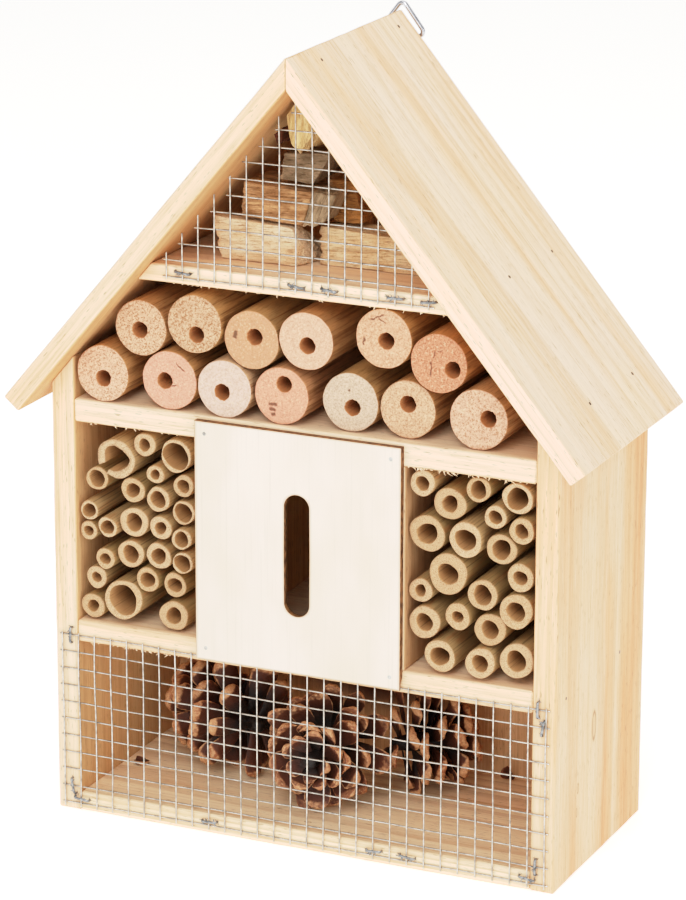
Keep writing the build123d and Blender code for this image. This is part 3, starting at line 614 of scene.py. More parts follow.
def panelFinish(name, look):
    # rotary-cut veneer: a nearly even pale face with faint long lines, and laser-charred edges
    finish = Finish(name, {"Specular IOR Level": 0.3})
    local = finish.place()
    broad = finish.noise(finish.stretch(local, (38, 20, 80)), 3.0)
    line = finish.noise(finish.stretch(local, (1.1, 8, 60)), 3.0)
    fine = finish.noise(finish.stretch(local, (0.5, 4, 9)), 3.0)
    scorch = finish.wearAndShade()[1]
    patch = finish.noise(finish.stretch(local, (3, 1.2, 3)), 3.0)
    colour = finish.mix(finish.fade(broad, 0.3, 0.7), tone(*look["face"]), tone(*look["faceWarm"]))
    colour = finish.mix(finish.fade(line, 0.52, 0.8) * 0.3, colour, tone(*look["line"]))
    colour = finish.mix(finish.fade(scorch, 0.02, 0.5) * 0.55, colour, tone(*look["halo"]))
    burnt = finish.mix(finish.fade(patch, 0.35, 0.65), tone(*look["burn"]), tone(*look["char"]))
    colour = finish.mix(finish.fade(scorch, 0.5, 0.95), colour, burnt)
    normal = finish.bump(fine * 0.6 + line * 0.4, 0.05, 0.5)
    return finish.paint(colour=colour, rough=0.5 + fine * 0.2, normal=normal)


panelLow, panelHigh = boxOf("front_panel")
chamberMiddle = (boxOf("lower_shelf")[1][2] + boxOf("upper_shelf")[0][2]) / 2
makePiece("veneer_front_panel", [slottedPanel(panelLow, panelHigh, chamberMiddle, panelForm)],
          panelFinish("veneer", panelLook), ["front_panel"])
print("panels made")


def logSkin(rod, look, seed):
    # rows run from the back over the skin to the front rim, across the sawn end to the bore, and down the
    # bore. The skin's radius wanders with angle and length; the end is a loft from the rim to the
    # off-centre bore.
    columns = look["columns"]
    angle = np.arange(columns) / columns * 2 * math.pi
    turn = np.column_stack([np.cos(angle), np.zeros(columns), np.sin(angle)])
    middle = np.array([rod["middle"][0], 0, rod["middle"][1]])
    bore = np.array([rod["bore"][0], 0, rod["bore"][1]])
    radius, front, back = rod["radius"], rod["front"], rod["back"]
    soft = look["rounding"]

    def around(centre, size, y):
        return centre + turn * np.reshape(size, (-1, 1)) + np.array([0, 1, 0]) * np.reshape(y, (-1, 1))

    rings, masks = [], []
    stations = [[back], np.linspace(back, front + 3, look["rows"]), [front + 1.6, front + soft * 1.5]]
    for y in np.concatenate(stations):
        probe = np.column_stack([turn[:, 0] * radius, np.full(columns, y * 0.12), turn[:, 2] * radius])
        probe = probe + seed * 31
        dip = 0.16 * softNoise(probe, 6, seed) + 0.1 * softNoise(probe, 2.2, seed + 1)
        rings.append(around(middle, (radius - 0.12) * (0.3 if len(rings) == 0 else 1) + dip, y))
        masks.append((0, 0, 0))
    rim = rings[-1] * [1, 0, 1]
    heading = (rim - middle) / np.linalg.norm(rim - middle, axis=1)[:, None]
    tilt = look["tilt"] * np.array([math.cos(seed * 2.4), math.sin(seed * 2.4)])

    def endY(ring):
        flat = ring - middle
        rough = 0.12 * softNoise(ring * [1, 0, 1] + seed, 1.5, seed + 4)
        rough = rough + 0.1 * softNoise(ring + seed, 5, seed + 5)
        return front + 0.1 + rough + np.abs(flat[:, 0] * tilt[0] + flat[:, 2] * tilt[1])

    for pulled, deep, cut in ((0.12, 0.6, 0.3), (0.5, 0.15, 0.7), (1.0, 0, 1)):
        ring = rim - heading * soft * pulled
        rings.append(ring + np.array([0, 1, 0]) * (endY(ring) + soft * deep)[:, None])
        masks.append((cut, 0, 0))
    inner = rim - heading * soft
    chips = 0.04 * softNoise(turn * 2 + seed, 0.5, seed + 6)
    chips = chips + 0.035 * softNoise(turn * 3 + seed, 0.3, seed + 8)
    mouth = rod["boreRadius"] * (1.04 + chips)
    hole = around(bore, mouth, 0)
    for share in np.linspace(0, 1, look["endRows"])[1:]:
        ring = inner * (1 - share) + (hole + (hole - bore) * 0.06) * share
        rings.append(ring + np.array([0, 1, 0]) * endY(ring)[:, None])
        masks.append((1, 0.0, share))
    for depth in (0.25, 1.2, 3, 6, 12, 24, 40, look["boreDepth"] - 4, look["boreDepth"]):
        probe = turn * 3 + np.array([0, depth * 0.2, seed])
        size = mouth + 0.14 * softNoise(probe, 0.8, seed + 7)
        rings.append(around(bore, size if depth < look["boreDepth"] else size * 0.55, front + depth))
        # the third mask grows with depth down the bore, for the painted shade there
        masks.append((0.4 if depth < 1 else 0, 1, min(depth / 30, 1)))
    rings = np.array(rings)
    table = np.ones(rings.shape[:2] + (4,))
    table[..., :3] = np.array(masks)[:, None]
    return skin(rings, table)


logForm = {"columns": 96, "rows": 14, "endRows": 16, "rounding": 0.45, "boreDepth": 80, "tilt": 0.012}
logCommon = {"end": (229, 175, 133), "speck": (134, 88, 52), "speckStrength": 0.6, "fuzz": 0.5,
             "side": (200, 142, 87), "streak": (112, 66, 30), "bore": (184, 122, 76), "marks": []}
# each log's own hues; marks are dark cracks as (across, up, angle, half length, half width) from its middle
logLooks = {
    1: {"end": (217, 165, 135), "speckStrength": 0.75},
    2: {"end": (213, 150, 125), "speck": (177, 110, 81),
        "marks": [(5.2, 6.5, -38, 3.2, 0.3), (2.2, -2.2, 20, 1.6, 0.25)]},
    3: {"end": (212, 176, 156), "speckStrength": 0.25, "side": (206, 162, 120)},
    4: {"end": (216, 148, 120), "speckStrength": 0.4, "side": (200, 141, 95),
        "marks": [(-4.0, -4.2, 8, 2.6, 0.8), (-4.2, -6.4, 0, 2.0, 0.6), (-3.8, -8.6, 10, 1.3, 0.9)]},
    5: {"end": (203, 171, 146), "speck": (140, 117, 91), "fuzz": 1.0, "side": (182, 134, 81),
        "marks": [(-0.4, 5.2, 60, 0.7, 0.5)]},
    6: {"end": (209, 163, 129), "speckStrength": 0.6, "fuzz": 0.8},
    7: {"end": (212, 161, 132), "speckStrength": 0.7, "side": (197, 145, 96)},
    8: {"end": (208, 160, 128), "speckStrength": 0.9, "side": (184, 131, 81)},
    9: {"end": (196, 151, 118), "speckStrength": 0.95, "side": (190, 138, 83)},
    10: {"end": (194, 139, 105), "speck": (157, 110, 63), "speckStrength": 0.4, "side": (177, 134, 84),
         "marks": [(-7.6, 1.8, 70, 2.2, 0.9)]},
    11: {"end": (214, 163, 135), "speckStrength": 0.35, "side": (174, 122, 74)},
    12: {"end": (211, 155, 122), "speckStrength": 0.5, "side": (182, 127, 73),
         "marks": [(-3.0, 9.0, 25, 4.2, 0.35), (-1.0, 8.0, -30, 2.4, 0.3), (-9.0, -2.0, 78, 2.2, 0.4),
                   (1.2, -3.2, -5, 2.6, 0.3)]},
    13: {"end": (202, 133, 100), "speck": (133, 75, 41), "speckStrength": 0.7, "side": (187, 124, 72),
         "marks": [(-3.4, -2.6, 88, 4.0, 0.4), (-1.8, 3.6, 70, 2.0, 0.25), (0.6, 5.4, 20, 1.6, 0.25)]},
}


def logFinish(name, look, middle):
    # Turned log: lengthwise streaks on the skin, a fibrous speckle of the same grain across the sawn end, and
    # a few dark cracks drawn as soft lines about the log's middle.
    finish = Finish(name, {"Specular IOR Level": 0.25})
    local = finish.place(shift=(-middle[0], 0, -middle[1]))
    cut, bore, depth = finish.wearAndShade()
    streak = finish.noise(finish.stretch(local, (1.5, 60, 1.5)), 4.0, 0.6)
    thread = finish.noise(finish.stretch(local, (0.42, 9, 0.42)), 3.0, 0.6)
    blotch = finish.noise(finish.stretch(local, (5, 26, 5)), 3.0)
    grit = finish.noise(finish.stretch(local, (0.75, 3, 0.75)), 3.0, 0.7)
    along, deep, up = finish.parts(local)
    rings = finish.math("SQRT", along * along + up * up) + (blotch - 0.5) * 5
    rings = finish.fade(finish.math("FRACT", rings / 2.4), 0.5, 1.0)
    side = finish.mix(finish.fade(blotch, 0.32, 0.7), tone(*look["side"]), shade(look["side"], 0.86))
    side = finish.mix(finish.fade(streak, 0.47, 0.68) * 0.85, side, tone(*look["streak"]))
    side = finish.mix(finish.fade(thread, 0.5, 0.72) * 0.5, side, shade(look["streak"], 0.7))
    end = finish.mix(finish.fade(blotch, 0.35, 0.7) * 0.6, tone(*look["end"]), shade(look["end"], 0.93))
    end = finish.mix(rings * 0.13, end, tone(*look["speck"]))
    end = finish.mix(finish.fade(grit, 0.5, 0.6) * look["speckStrength"], end, tone(*look["speck"]))
    dust = finish.noise(finish.stretch(local, (1.1, 3, 1.1)), 2.0, 0.6)
    end = finish.mix(finish.fade(dust, 0.56, 0.7) * look["speckStrength"] * 0.7, end, tone(*look["speck"]))
    end = finish.mix(finish.fade(dust, 0.45, 0.3) * 0.35, end, tone(240, 204, 164))
    dark = None
    warp = finish.noise(finish.stretch(local, (2.2, 9, 2.2)), 3.0) - 0.5
    for across, high, angle, length, width in look["marks"]:
        c, s = math.cos(math.radians(angle)), math.sin(math.radians(angle))
        run = (along - across) * c + (up - high) * s
        off = finish.math("ABSOLUTE", (up - high) * c - (along - across) * s + warp * 2.2)
        mark = finish.fade(off, width * 1.5, width * 0.4) * finish.fade(
            finish.math("ABSOLUTE", run), length, length * 0.6)
        dark = mark if dark is None else finish.math("MAXIMUM", dark, mark)
    if dark is not None:
        end = finish.mix(dark * 0.85, end, tone(78, 45, 24))
    # the bore darkens to half its colour with depth: painted shade inside the hole
    hollow = finish.mix(finish.fade(depth, 0.1, 0.8), tone(*look["bore"]), shade(look["bore"], 0.5))
    colour = finish.mix(finish.fade(cut, 0.3, 0.7), side, end)
    colour = finish.mix(finish.fade(bore, 0.4, 0.9), colour, hollow)
    height = streak * 0.5 + thread * 0.5 + grit * cut * look["fuzz"] * 1.4
    return finish.paint(colour=colour, rough=0.55 + thread * 0.25, normal=finish.bump(height, 0.3, 0.6))


for index, own in logLooks.items():
    node = f"log_{index:02d}"
    rod = rodsOf(node)[0]
    look = dict(logCommon, **own)
    finish = logFinish(f"{node}_wood", look, rod["middle"])
    makePiece(f"turned_{node}", [logSkin(rod, logForm, index)], finish, [node])
print("logs made:", len(logLooks))


def caneSkin(rod, look, seed):
    # a reed: its outline is a circle with a few low waves, thicker here and thinner there; rows run from the
    # closed back over the skin, across the cut wall and down the bore to a joint
    rng = np.random.default_rng(seed)
    columns = look["columns"]
    angle = np.arange(columns) / columns * 2 * math.pi
    turn = np.column_stack([np.cos(angle), np.zeros(columns), np.sin(angle)])
    middle = np.array([rod["middle"][0], 0, rod["middle"][1]])
    phase = rng.random(6) * 2 * math.pi
    oval = 1 - look["oval"] * (0.5 + 0.5 * np.cos(2 * angle + phase[0]))
    outline = oval - look["lump"] * (0.5 + 0.5 * np.cos(3 * angle + phase[1])) - 0.5 * look["lump"] * (
        0.5 + 0.5 * np.cos(5 * angle + phase[2]))
    nick = np.clip(np.cos(angle - phase[3]) * 6 - 5.2, 0, 1) * rng.random() * 0.05
    outer = rod["radius"] * (outline - nick)
    inner = rod["boreRadius"] * (1 + 0.06 * np.cos(2 * angle + phase[0] + 0.6)
                                 + 0.03 * np.cos(3 * angle + phase[4]) + 0.015 * np.cos(6 * angle + phase[5]))
    front, back = rod["front"], rod["back"]
    tilt = look["tilt"] * rng.standard_normal(2)
    ragged = 0.12 * softNoise(turn * 4 + seed, 0.5, seed) + 0.2 * softNoise(turn * 2 + seed, 0.9, seed + 1)

    def ring(size, y):
        return middle + turn * np.reshape(size, (-1, 1)) + np.array([0, 1, 0]) * np.reshape(y, (-1, 1))

    def cutY(size):
        leaning = np.clip(turn[:, 0] * tilt[0] + turn[:, 2] * tilt[1], -0.3, 1)
        return front + 0.25 + ragged * 0.8 + leaning * size

    rings, masks = [ring(outer * 0.4, back)], [(0, 0, 0)]
    knot = back - 18 - 50 * rng.random()
    for y in np.concatenate([np.linspace(back, front + 6, look["rows"]), [front + 3.5, front + 1.6]]):
        swell = 0.02 * math.exp(-((y - knot) / 1.4) ** 2) - 0.02
        rings.append(ring(outer * (1 + swell), y))
        masks.append((0, 0, 0))
    for pulled, deep, cut in ((0.02, 0.75, 0.25), (0.1, 0.3, 0.6), (0.32, 0.02, 1)):
        rings.append(ring(outer * 0.98 - pulled, cutY(outer) + deep))
        masks.append((cut, 0, 0))
    for share in (0.2, 0.4, 0.6, 0.8, 0.94):
        size = (outer * 0.98 - 0.32) * (1 - share) + inner * share
        bumpy = 0.1 * softNoise(ring(size, 0) + seed, 1.1, seed + 2)
        rings.append(ring(size, cutY(size) + bumpy))
        masks.append((1, 0, share))
    for depth in (0.25, 1, 2.5, 6, 12, 22, 36, look["boreDepth"] - 3, look["boreDepth"]):
        rough = softNoise(turn * 3 + depth * 0.15 + seed, 0.6, seed + 3)
        wall = inner * (1 - 0.03 * min(depth / 10, 1)) + 0.05 * rough
        rings.append(ring(wall * (0.4 if depth == look["boreDepth"] else 1), front + 0.25 + depth))
        masks.append((0.3 if depth < 0.5 else 0, 1, min(depth / 40, 1)))
    rings, masks = np.array(rings), np.array(masks, float)
    table = np.ones(rings.shape[:2] + (4,))
    table[..., 0] = masks[:, None, 0]
    # the second mask is the bore, heavier with depth, for the painted shade down the hole
    table[..., 1] = masks[:, None, 1] * 0.6 + masks[:, None, 2] * masks[:, None, 1] * 0.4
    table[..., 2] = rng.random()
    return skin(rings, table)


caneForm = {"columns": 56, "rows": 16, "boreDepth": 78, "oval": 0.07, "lump": 0.035, "tilt": 0.03}
caneLook = {"skinPale": (190, 152, 104), "skinOlive": (146, 116, 70), "skinDark": (80, 56, 30),
            "skinRust": (172, 110, 62), "end": (194, 157, 120), "endWarm": (178, 138, 98),
            # the last colour is painted shade deep in the bore
            "speck": (122, 82, 48), "bore": (188, 142, 94), "boreDeepShade": (98, 66, 34)}


def caneFinish(name, look):
    # Dry reed: fine lengthwise ribs on a skin that differs from cane to cane, ends speckled with fibre
    # bundles.
    finish = Finish(name, {"Specular IOR Level": 0.3})
    local = finish.place()
    cut, hollow, own = finish.wearAndShade()
    rib = finish.noise(finish.stretch(local, (0.7, 50, 0.7)), 3.0, 0.6)
    thread = finish.noise(finish.stretch(local, (0.3, 7, 0.3)), 3.0, 0.65)
    stain = finish.noise(finish.stretch(local, (4, 22, 4)), 3.0)
    bundle = finish.cells(finish.stretch(local, (0.85, 6, 0.85)))
    skinHue = finish.mix(own, tone(*look["skinPale"]), tone(*look["skinOlive"]))
    skinHue = finish.mix(finish.fade(stain, 0.48, 0.7) * 0.6, skinHue, tone(*look["skinRust"]))
    skinHue = finish.mix(finish.fade(rib, 0.48, 0.7) * 0.7, skinHue, tone(*look["skinDark"]))
    end = finish.mix(own, tone(*look["end"]), tone(*look["endWarm"]))
    end = finish.mix(finish.fade(bundle, 0.36, 0.16) * 0.7, end, tone(*look["speck"]))
    end = finish.mix(finish.fade(thread, 0.5, 0.68) * 0.65, end, tone(*look["speck"]))
    end = finish.mix(finish.fade(thread, 0.46, 0.32) * 0.5, end, tone(244, 214, 176))
    # the bore runs to a darker colour with depth: painted shade inside the reed
    inside = finish.mix(finish.fade(hollow, 0.6, 0.95), tone(*look["bore"]), tone(*look["boreDeepShade"]))
    inside = finish.mix(finish.fade(rib, 0.5, 0.7) * 0.45, inside, tone(*look["skinDark"]))
    colour = finish.mix(finish.fade(cut, 0.25, 0.8), skinHue, end)
    colour = finish.mix(finish.fade(hollow, 0.3, 0.55), colour, inside)
    height = rib * 0.8 + thread * 0.4 - finish.fade(bundle, 0.3, 0.1) * cut * 0.5
    return finish.paint(colour=colour, rough=0.48 + thread * 0.3, normal=finish.bump(height, 0.3, 0.6))


def crackedCane(rod, look, seed):
    # a reed split open along its whole length: the section runs round the outside from one side of the gap
    # to the other and back round the inside; sections along Y are joined, and both ends are closed between
    # the two walls
    first, last = look["gapTurn"] + look["gapHalf"], look["gapTurn"] + 360 - look["gapHalf"]
    turn = np.radians(np.linspace(first, last, 50))
    round_ = np.column_stack([np.cos(turn), np.sin(turn)])
    outer = rod["radius"] * (0.97 + 0.03 * np.cos(2 * turn + 0.8) + 0.015 * np.cos(5 * turn))
    inner = outer * look["bore"] + 0.5 * np.cos(3 * turn)
    rings, masks = [], []
    for y in np.concatenate([[0, 0.35, 1, 2.5], np.linspace(5, rod["back"] - rod["front"] - 1, 16)]):
        ragged = 0.5 * softNoise(np.column_stack([round_, turn]) * 4, 0.8, seed) * (y == 0)
        loop = np.concatenate([round_ * outer[:, None], (round_ * (inner + 0.1 * math.sin(y))[:, None])[::-1]])
        deep = rod["front"] + 0.3 + y + np.concatenate([ragged, ragged[::-1]])
        rings.append(np.column_stack([rod["middle"][0] + loop[:, 0], deep, rod["middle"][1] + loop[:, 1]]))
        table = np.ones((100, 4))
        table[:, 0] = 1 if y == 0 else 0
        table[:50, 1] = 0
        # the inner wall's mask grows with depth, for the painted shade inside
        table[50:, 1] = 0 if y == 0 else 0.6 + 0.4 * min(y / 40, 1)
        table[:, 2] = 0.2
        masks.append(table)
    made = skin(np.array(rings), np.array(masks))
    k = np.arange(49)
    cap = np.stack([k, k + 1, 98 - k, 99 - k], axis=-1)
    made["quads"] = np.concatenate([made["quads"], cap, (cap + (len(rings) - 1) * 100)[:, ::-1]])
    made["points"], made["masks"] = made["points"][:-2], made["masks"][:-2]
    made["quads"], made["triangles"] = turnOutward(made["points"], made["quads"], np.zeros((0, 3), int))
    return made


crackedForm = {"gapTurn": 220, "gapHalf": 17, "bore": 0.66}
reed = caneFinish("reed", caneLook)
caneNodes = sorted(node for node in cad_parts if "_canes_" in node)
for order, node in enumerate(caneNodes):
    parts = []
    for k, rod in enumerate(rodsOf(node)):
        cracked = rod["radius"] > 8.5 and rod["middle"][0] < 0 and rod["middle"][1] > 140
        parts.append(crackedCane(rod, crackedForm, 7) if cracked and abs(rod["middle"][0] + 89) < 4
                     else caneSkin(rod, caneForm, 100 * order + k))
    makePiece("reed_" + node, parts, reed, [node])
print("canes made")


def warpMesh(points, look, seed):
    # the whole mesh is bent by one soft field, so that its wires still meet at every weld
    flat = points * [1, 0, 1]
    moved = points.copy()
    moved[..., 0] += look["sag"] * softNoise(flat, 34, seed)
    moved[..., 2] += look["sag"] * softNoise(flat, 27, seed + 1)
    moved[..., 1] -= look["lift"] * np.abs(softNoise(flat, 30, seed + 2))
    return moved


def wireParts(node, look, seed):
    # each wire keeps its place: sampled along its length, a little uneven in thickness, and bent with the mesh
    parts = []
    for order, points in enumerate(solidsOf(node)):
        low, high = points.min(axis=0), points.max(axis=0)
        middle = (low + high) / 2
        axis = 2 if high[2] - low[2] > high[0] - low[0] else 0
        start, end = low[axis] + 0.05, high[axis] - 0.05
        run = np.arange(start, end + 0.7, 1.4 if end - start > 20 else 0.7).clip(start, end)
        path = np.repeat(middle[None], len(run), axis=0)
        path[:, axis] = run
        path = warpMesh(path, look, seed)
        own = softNoise(path + order * 50, 12, seed + 5) * look["kink"]
        path[:, 2 - axis] += own
        size = look["radius"] * (1 + 0.05 * softNoise(path * 3 + order, 3, seed + 6))
        parts.append(tube(path, size, look["sides"]))
    return parts


def metalFinish(name, look):
    # zinc or plated wire: even metal with faint mottling and fine scratches
    finish = Finish(name, {"Metallic": look["metal"]})
    local = finish.place()
    cloud = finish.noise(finish.stretch(local, (2.6, 2.6, 2.6)), 3.0)
    grit = finish.noise(finish.stretch(local, (0.35, 0.35, 0.35)), 2.0)
    colour = finish.mix(finish.fade(cloud, 0.35, 0.7), tone(*look["pale"]), tone(*look["dull"]))
    rough = look["rough"] + (cloud - 0.5) * look["mottle"]
    return finish.paint(colour=colour, rough=rough, normal=finish.bump(grit, 0.03, look["grit"]))


meshForm = {"radius": 0.36, "sides": 8, "sag": 0.35, "lift": 0.12, "kink": 0.1}
zinc = metalFinish("zinc_wire", {"pale": (204, 198, 188), "dull": (150, 145, 136), "rough": 0.3,
                                 "mottle": 0.25, "grit": 0.4, "metal": 1.0})
makePiece("wire_lower_mesh", wireParts("lower_mesh", meshForm, 60), zinc, ["lower_mesh"])
makePiece("wire_gable_mesh", wireParts("gable_mesh", meshForm, 70), zinc, ["gable_mesh"])


def stapleParts(node, look, seed):
    # a flat wire carried from inside the wood out over a corner arc, along the crown and back, leaning a
    # little, with scraps of wire on its crown and thin splinters at its legs, all in the staple's own finish
    parts = []
    rng = np.random.default_rng(seed)
    for points in solidsOf(node):
        low, high = points.min(axis=0), points.max(axis=0)
        middle = (low + high) / 2
        upright = high[2] - low[2] > high[0] - low[0]
        half = (high - low)[2 if upright else 0] / 2 - 0.55
        bend = look["bend"]
        arc = np.linspace(0, math.pi / 2, 5)
        lift = low[1] + 0.32
        run = [(-half, lift + 5.0), (-half, lift + 2.5)]
        run += list(zip(-half + bend * (1 - np.cos(arc)), lift + bend * (1 - np.sin(arc))))
        run += [(share * (half - bend), lift + 0.12 * math.cos(share * 9)) for share in (-0.5, 0, 0.5)]
        run += list(zip(half - bend * (1 - np.cos(arc[::-1])), lift + bend * (1 - np.sin(arc[::-1]))))
        run += [(half, lift + 2.5), (half, lift + 5.0)]
        along, deep = np.array(run).T
        lean = math.radians(look["lean"]) * rng.standard_normal()
        u = along * math.cos(lean)
        v = along * math.sin(lean)
        x, z = (v, u) if upright else (u, v)
        path = np.column_stack([middle[0] + x, deep, middle[2] + z])
        normal = (math.cos(lean), 0, math.sin(-lean)) if upright else (math.sin(-lean), 0, math.cos(lean))
        parts.append(tube(path, look["radius"], 8, normal, 1.75))
        for _ in range(look["scraps"]):
            root = path[len(path) // 2] + np.array([(rng.random() - 0.5) * half * 1.7, 0, 0])
            if upright:
                root = path[len(path) // 2] + np.array([0, 0, (rng.random() - 0.5) * half * 1.7])
            swing = rng.random() * 2 * math.pi
            reach = 0.8 + 1.3 * rng.random()
            tip = root + np.array([math.cos(swing) * reach, -0.05, math.sin(swing) * reach])
            bow = (root + tip) / 2 + [0.3 * rng.standard_normal(), -0.3, 0.3 * rng.standard_normal()]
            parts.append(tube([root, bow, tip], [0.3, 0.27, 0.2], 6, (0.2, 0.9, 0.3)))
        for leg in (0, -1):
            for _ in range(look["splinters"]):
                root = path[leg] * [1, 0, 1] + [0, look["face"], 0]
                swing = rng.random() * 2 * math.pi
                reach = 0.6 + 1.2 * rng.random()
                out = -0.25 - 0.3 * rng.random()
                tip = root + np.array([math.cos(swing) * reach, out, math.sin(swing) * reach])
                bow = (root + tip) / 2 + [0, -0.25, 0]
                parts.append(tube([root, bow, tip], [0.2, 0.16, 0.05], 5, (0.2, 0.9, 0.3)))
    return parts


stapleForm = {"radius": 0.36, "bend": 0.9, "lean": 7, "splinters": 3, "scraps": 6, "face": -52.4}
steel = metalFinish("staple_zinc", {"pale": (150, 152, 152), "dull": (84, 84, 84), "rough": 0.4,
                                    "mottle": 0.3, "grit": 0.5, "metal": 0.9})
makePiece("staples_lower", stapleParts("lower_mesh_staples", stapleForm, 8), steel,
          ["lower_mesh_staples"])
makePiece("staples_gable", stapleParts("gable_mesh_staples", stapleForm, 9), steel,
          ["gable_mesh_staples"])


def nailParts(node, look):
    # a domed head with a rolled rim over a plain shank; the head is the end of the solid that is widest
    parts = []
    for points in solidsOf(node):
        middle = points.mean(axis=0)
        spreadOut = points - middle
        direction = np.linalg.svd(spreadOut, full_matrices=False)[2][0]
        reach = spreadOut @ direction
        radial = np.linalg.norm(spreadOut - reach[:, None] * direction, axis=1)
        if reach[np.argmax(radial)] < 0:
            direction, reach = -direction, -reach
        head, length = radial.max() * look["size"], reach.max() - reach.min()
        top = middle + direction * reach.max()
        shank = np.median(radial[reach < reach.max() - 2])
        profile = [(shank * 0.1, -length), (shank, -length + 1.5), (shank, -0.75), (head * 0.8, -0.62),
                   (head * 0.98, -0.45), (head, -0.28), (head * 0.97, -0.12), (head * 0.86, -0.03),
                   (head * 0.6, 0.0), (head * 0.3, -look["dish"] * 0.6), (head * 0.08, -look["dish"])]
        parts.append(spin(profile, top, direction, 20))
    return parts


nailSteel = metalFinish("nail_steel_bright", {"pale": (140, 120, 100), "dull": (84, 66, 50), "rough": 0.36,
                                              "mottle": 0.3, "grit": 0.5, "metal": 0.9})
for node, size in (("frame_nails", 0.62), ("roof_nails", 0.66), ("back_panel_nails", 0.9)):
    makePiece("bright_" + node, nailParts(node, {"dish": 0.06, "size": size}), nailSteel, [node])
pinSteel = metalFinish("pin_zinc", {"pale": (190, 188, 182), "dull": (128, 126, 122), "rough": 0.34,
                                    "mottle": 0.3, "grit": 0.5, "metal": 0.9})
makePiece("bright_panel_pins", nailParts("panel_pins", {"dish": 0.12, "size": 0.8}), pinSteel,
          ["panel_pins"])
print("mesh and fasteners made")


def roundedLoop(corners, radius, samples, step):
    # a closed outline of straight runs with an arc of the given radius at each corner
    corners = np.array(corners, float)
    path = []
    for k in range(len(corners)):
        before, here, after = corners[k - 1], corners[k], corners[(k + 1) % len(corners)]
        toBefore = (before - here) / np.linalg.norm(before - here)
        toAfter = (after - here) / np.linalg.norm(after - here)
        half = math.acos(np.clip(toBefore @ toAfter, -1, 1)) / 2
        cut = radius / math.tan(half)
        inward = (toBefore + toAfter) / np.linalg.norm(toBefore + toAfter)
        centre = here + inward * radius / math.sin(half)
        start, end = here + toBefore * cut, here + toAfter * cut
        sweep = math.pi - 2 * half
        for share in np.linspace(0, 1, samples):
            a = math.sin((1 - share) * sweep) / math.sin(sweep)
            b = math.sin(share * sweep) / math.sin(sweep)
            path.append(centre + (start - centre) * a + (end - centre) * b)
        far = after + (here - after) / np.linalg.norm(here - after) * cut
        count = max(2, int(np.linalg.norm(far - end) / step))
        path += [end + (far - end) * share for share in np.linspace(0, 1, count)[1:-1]]
    return np.array(path)


ringLow, ringHigh = boxOf("hanger_ring")
strapLow, strapHigh = boxOf("hanger_strap")
ringWire = (ringHigh[1] - ringLow[1]) / 2
axisY = (ringLow[1] + ringHigh[1]) / 2
axisZ = ringLow[2] + ringWire
hangerForm = {"cornerRadius": 2.2, "thick": 0.7, "halfWidth": 12.0, "height": 15.6, "cornerSteps": 9,
              "step": 1.2}
corners = [(hangerForm["halfWidth"], axisY, axisZ), (0, axisY, axisZ + hangerForm["height"]),
           (-hangerForm["halfWidth"], axisY, axisZ)]
ringPath = roundedLoop(corners, hangerForm["cornerRadius"], hangerForm["cornerSteps"], hangerForm["step"])
chrome = metalFinish("plated_hanger", {"pale": (190, 190, 194), "dull": (164, 164, 169), "rough": 0.17,
                                       "mottle": 0.08, "grit": 0.12, "metal": 1.0})
makePiece("plated_ring", [tube(ringPath, ringWire - 0.02, 20, loop=True)], chrome,
          ["hanger_ring"], "ring")


def strapPart(look):
    # the strip's middle line runs up the plate and round the knuckle; offset to both sides it gives a closed
    # section, which is carried across and drawn in a little at the two cut edges
    inner = strapHigh[1] - axisY - look["thick"]
    size = inner + look["thick"] / 2
    plateY = axisY - size
    turn = np.radians(np.linspace(180, -120, 40))
    knuckle = np.column_stack([axisY + size * np.cos(turn), axisZ + size * np.sin(turn)])
    straight = np.column_stack([np.full(12, plateY), np.linspace(strapLow[2] + 0.05, axisZ - 0.1, 12)])
    line = np.concatenate([straight, knuckle])
    tangent = np.gradient(line, axis=0)
    tangent /= np.linalg.norm(tangent, axis=1)[:, None]
    side = np.column_stack([-tangent[:, 1], tangent[:, 0]]) * look["thick"] / 2
    half = (strapHigh[0] - strapLow[0]) / 2
    rings = []
    for across, thin in ((-half, 0.5), (-half + 0.12, 0.9), (-half + 0.35, 1), (0, 1), (half - 0.35, 1),
                         (half - 0.12, 0.9), (half, 0.5)):
        loop = np.concatenate([line + side * thin, (line - side * thin)[::-1]])
        rings.append(np.column_stack([np.full(len(loop), across), loop]))
    count = len(line)
    rings = np.array(rings)
    made = skin(rings)
    cap = np.stack([np.arange(count - 1), np.arange(1, count), 2 * count - 2 - np.arange(count - 1),
                    2 * count - 1 - np.arange(count - 1)], axis=-1)
    far = cap + (len(rings) - 1) * 2 * count
    made["triangles"] = np.zeros((0, 3), int)
    made["quads"] = np.concatenate([made["quads"], cap, far[:, ::-1]])
    made["points"], made["masks"] = made["points"][:-2], made["masks"][:-2]
    made["quads"], made["triangles"] = turnOutward(made["points"], made["quads"], made["triangles"])
    return made


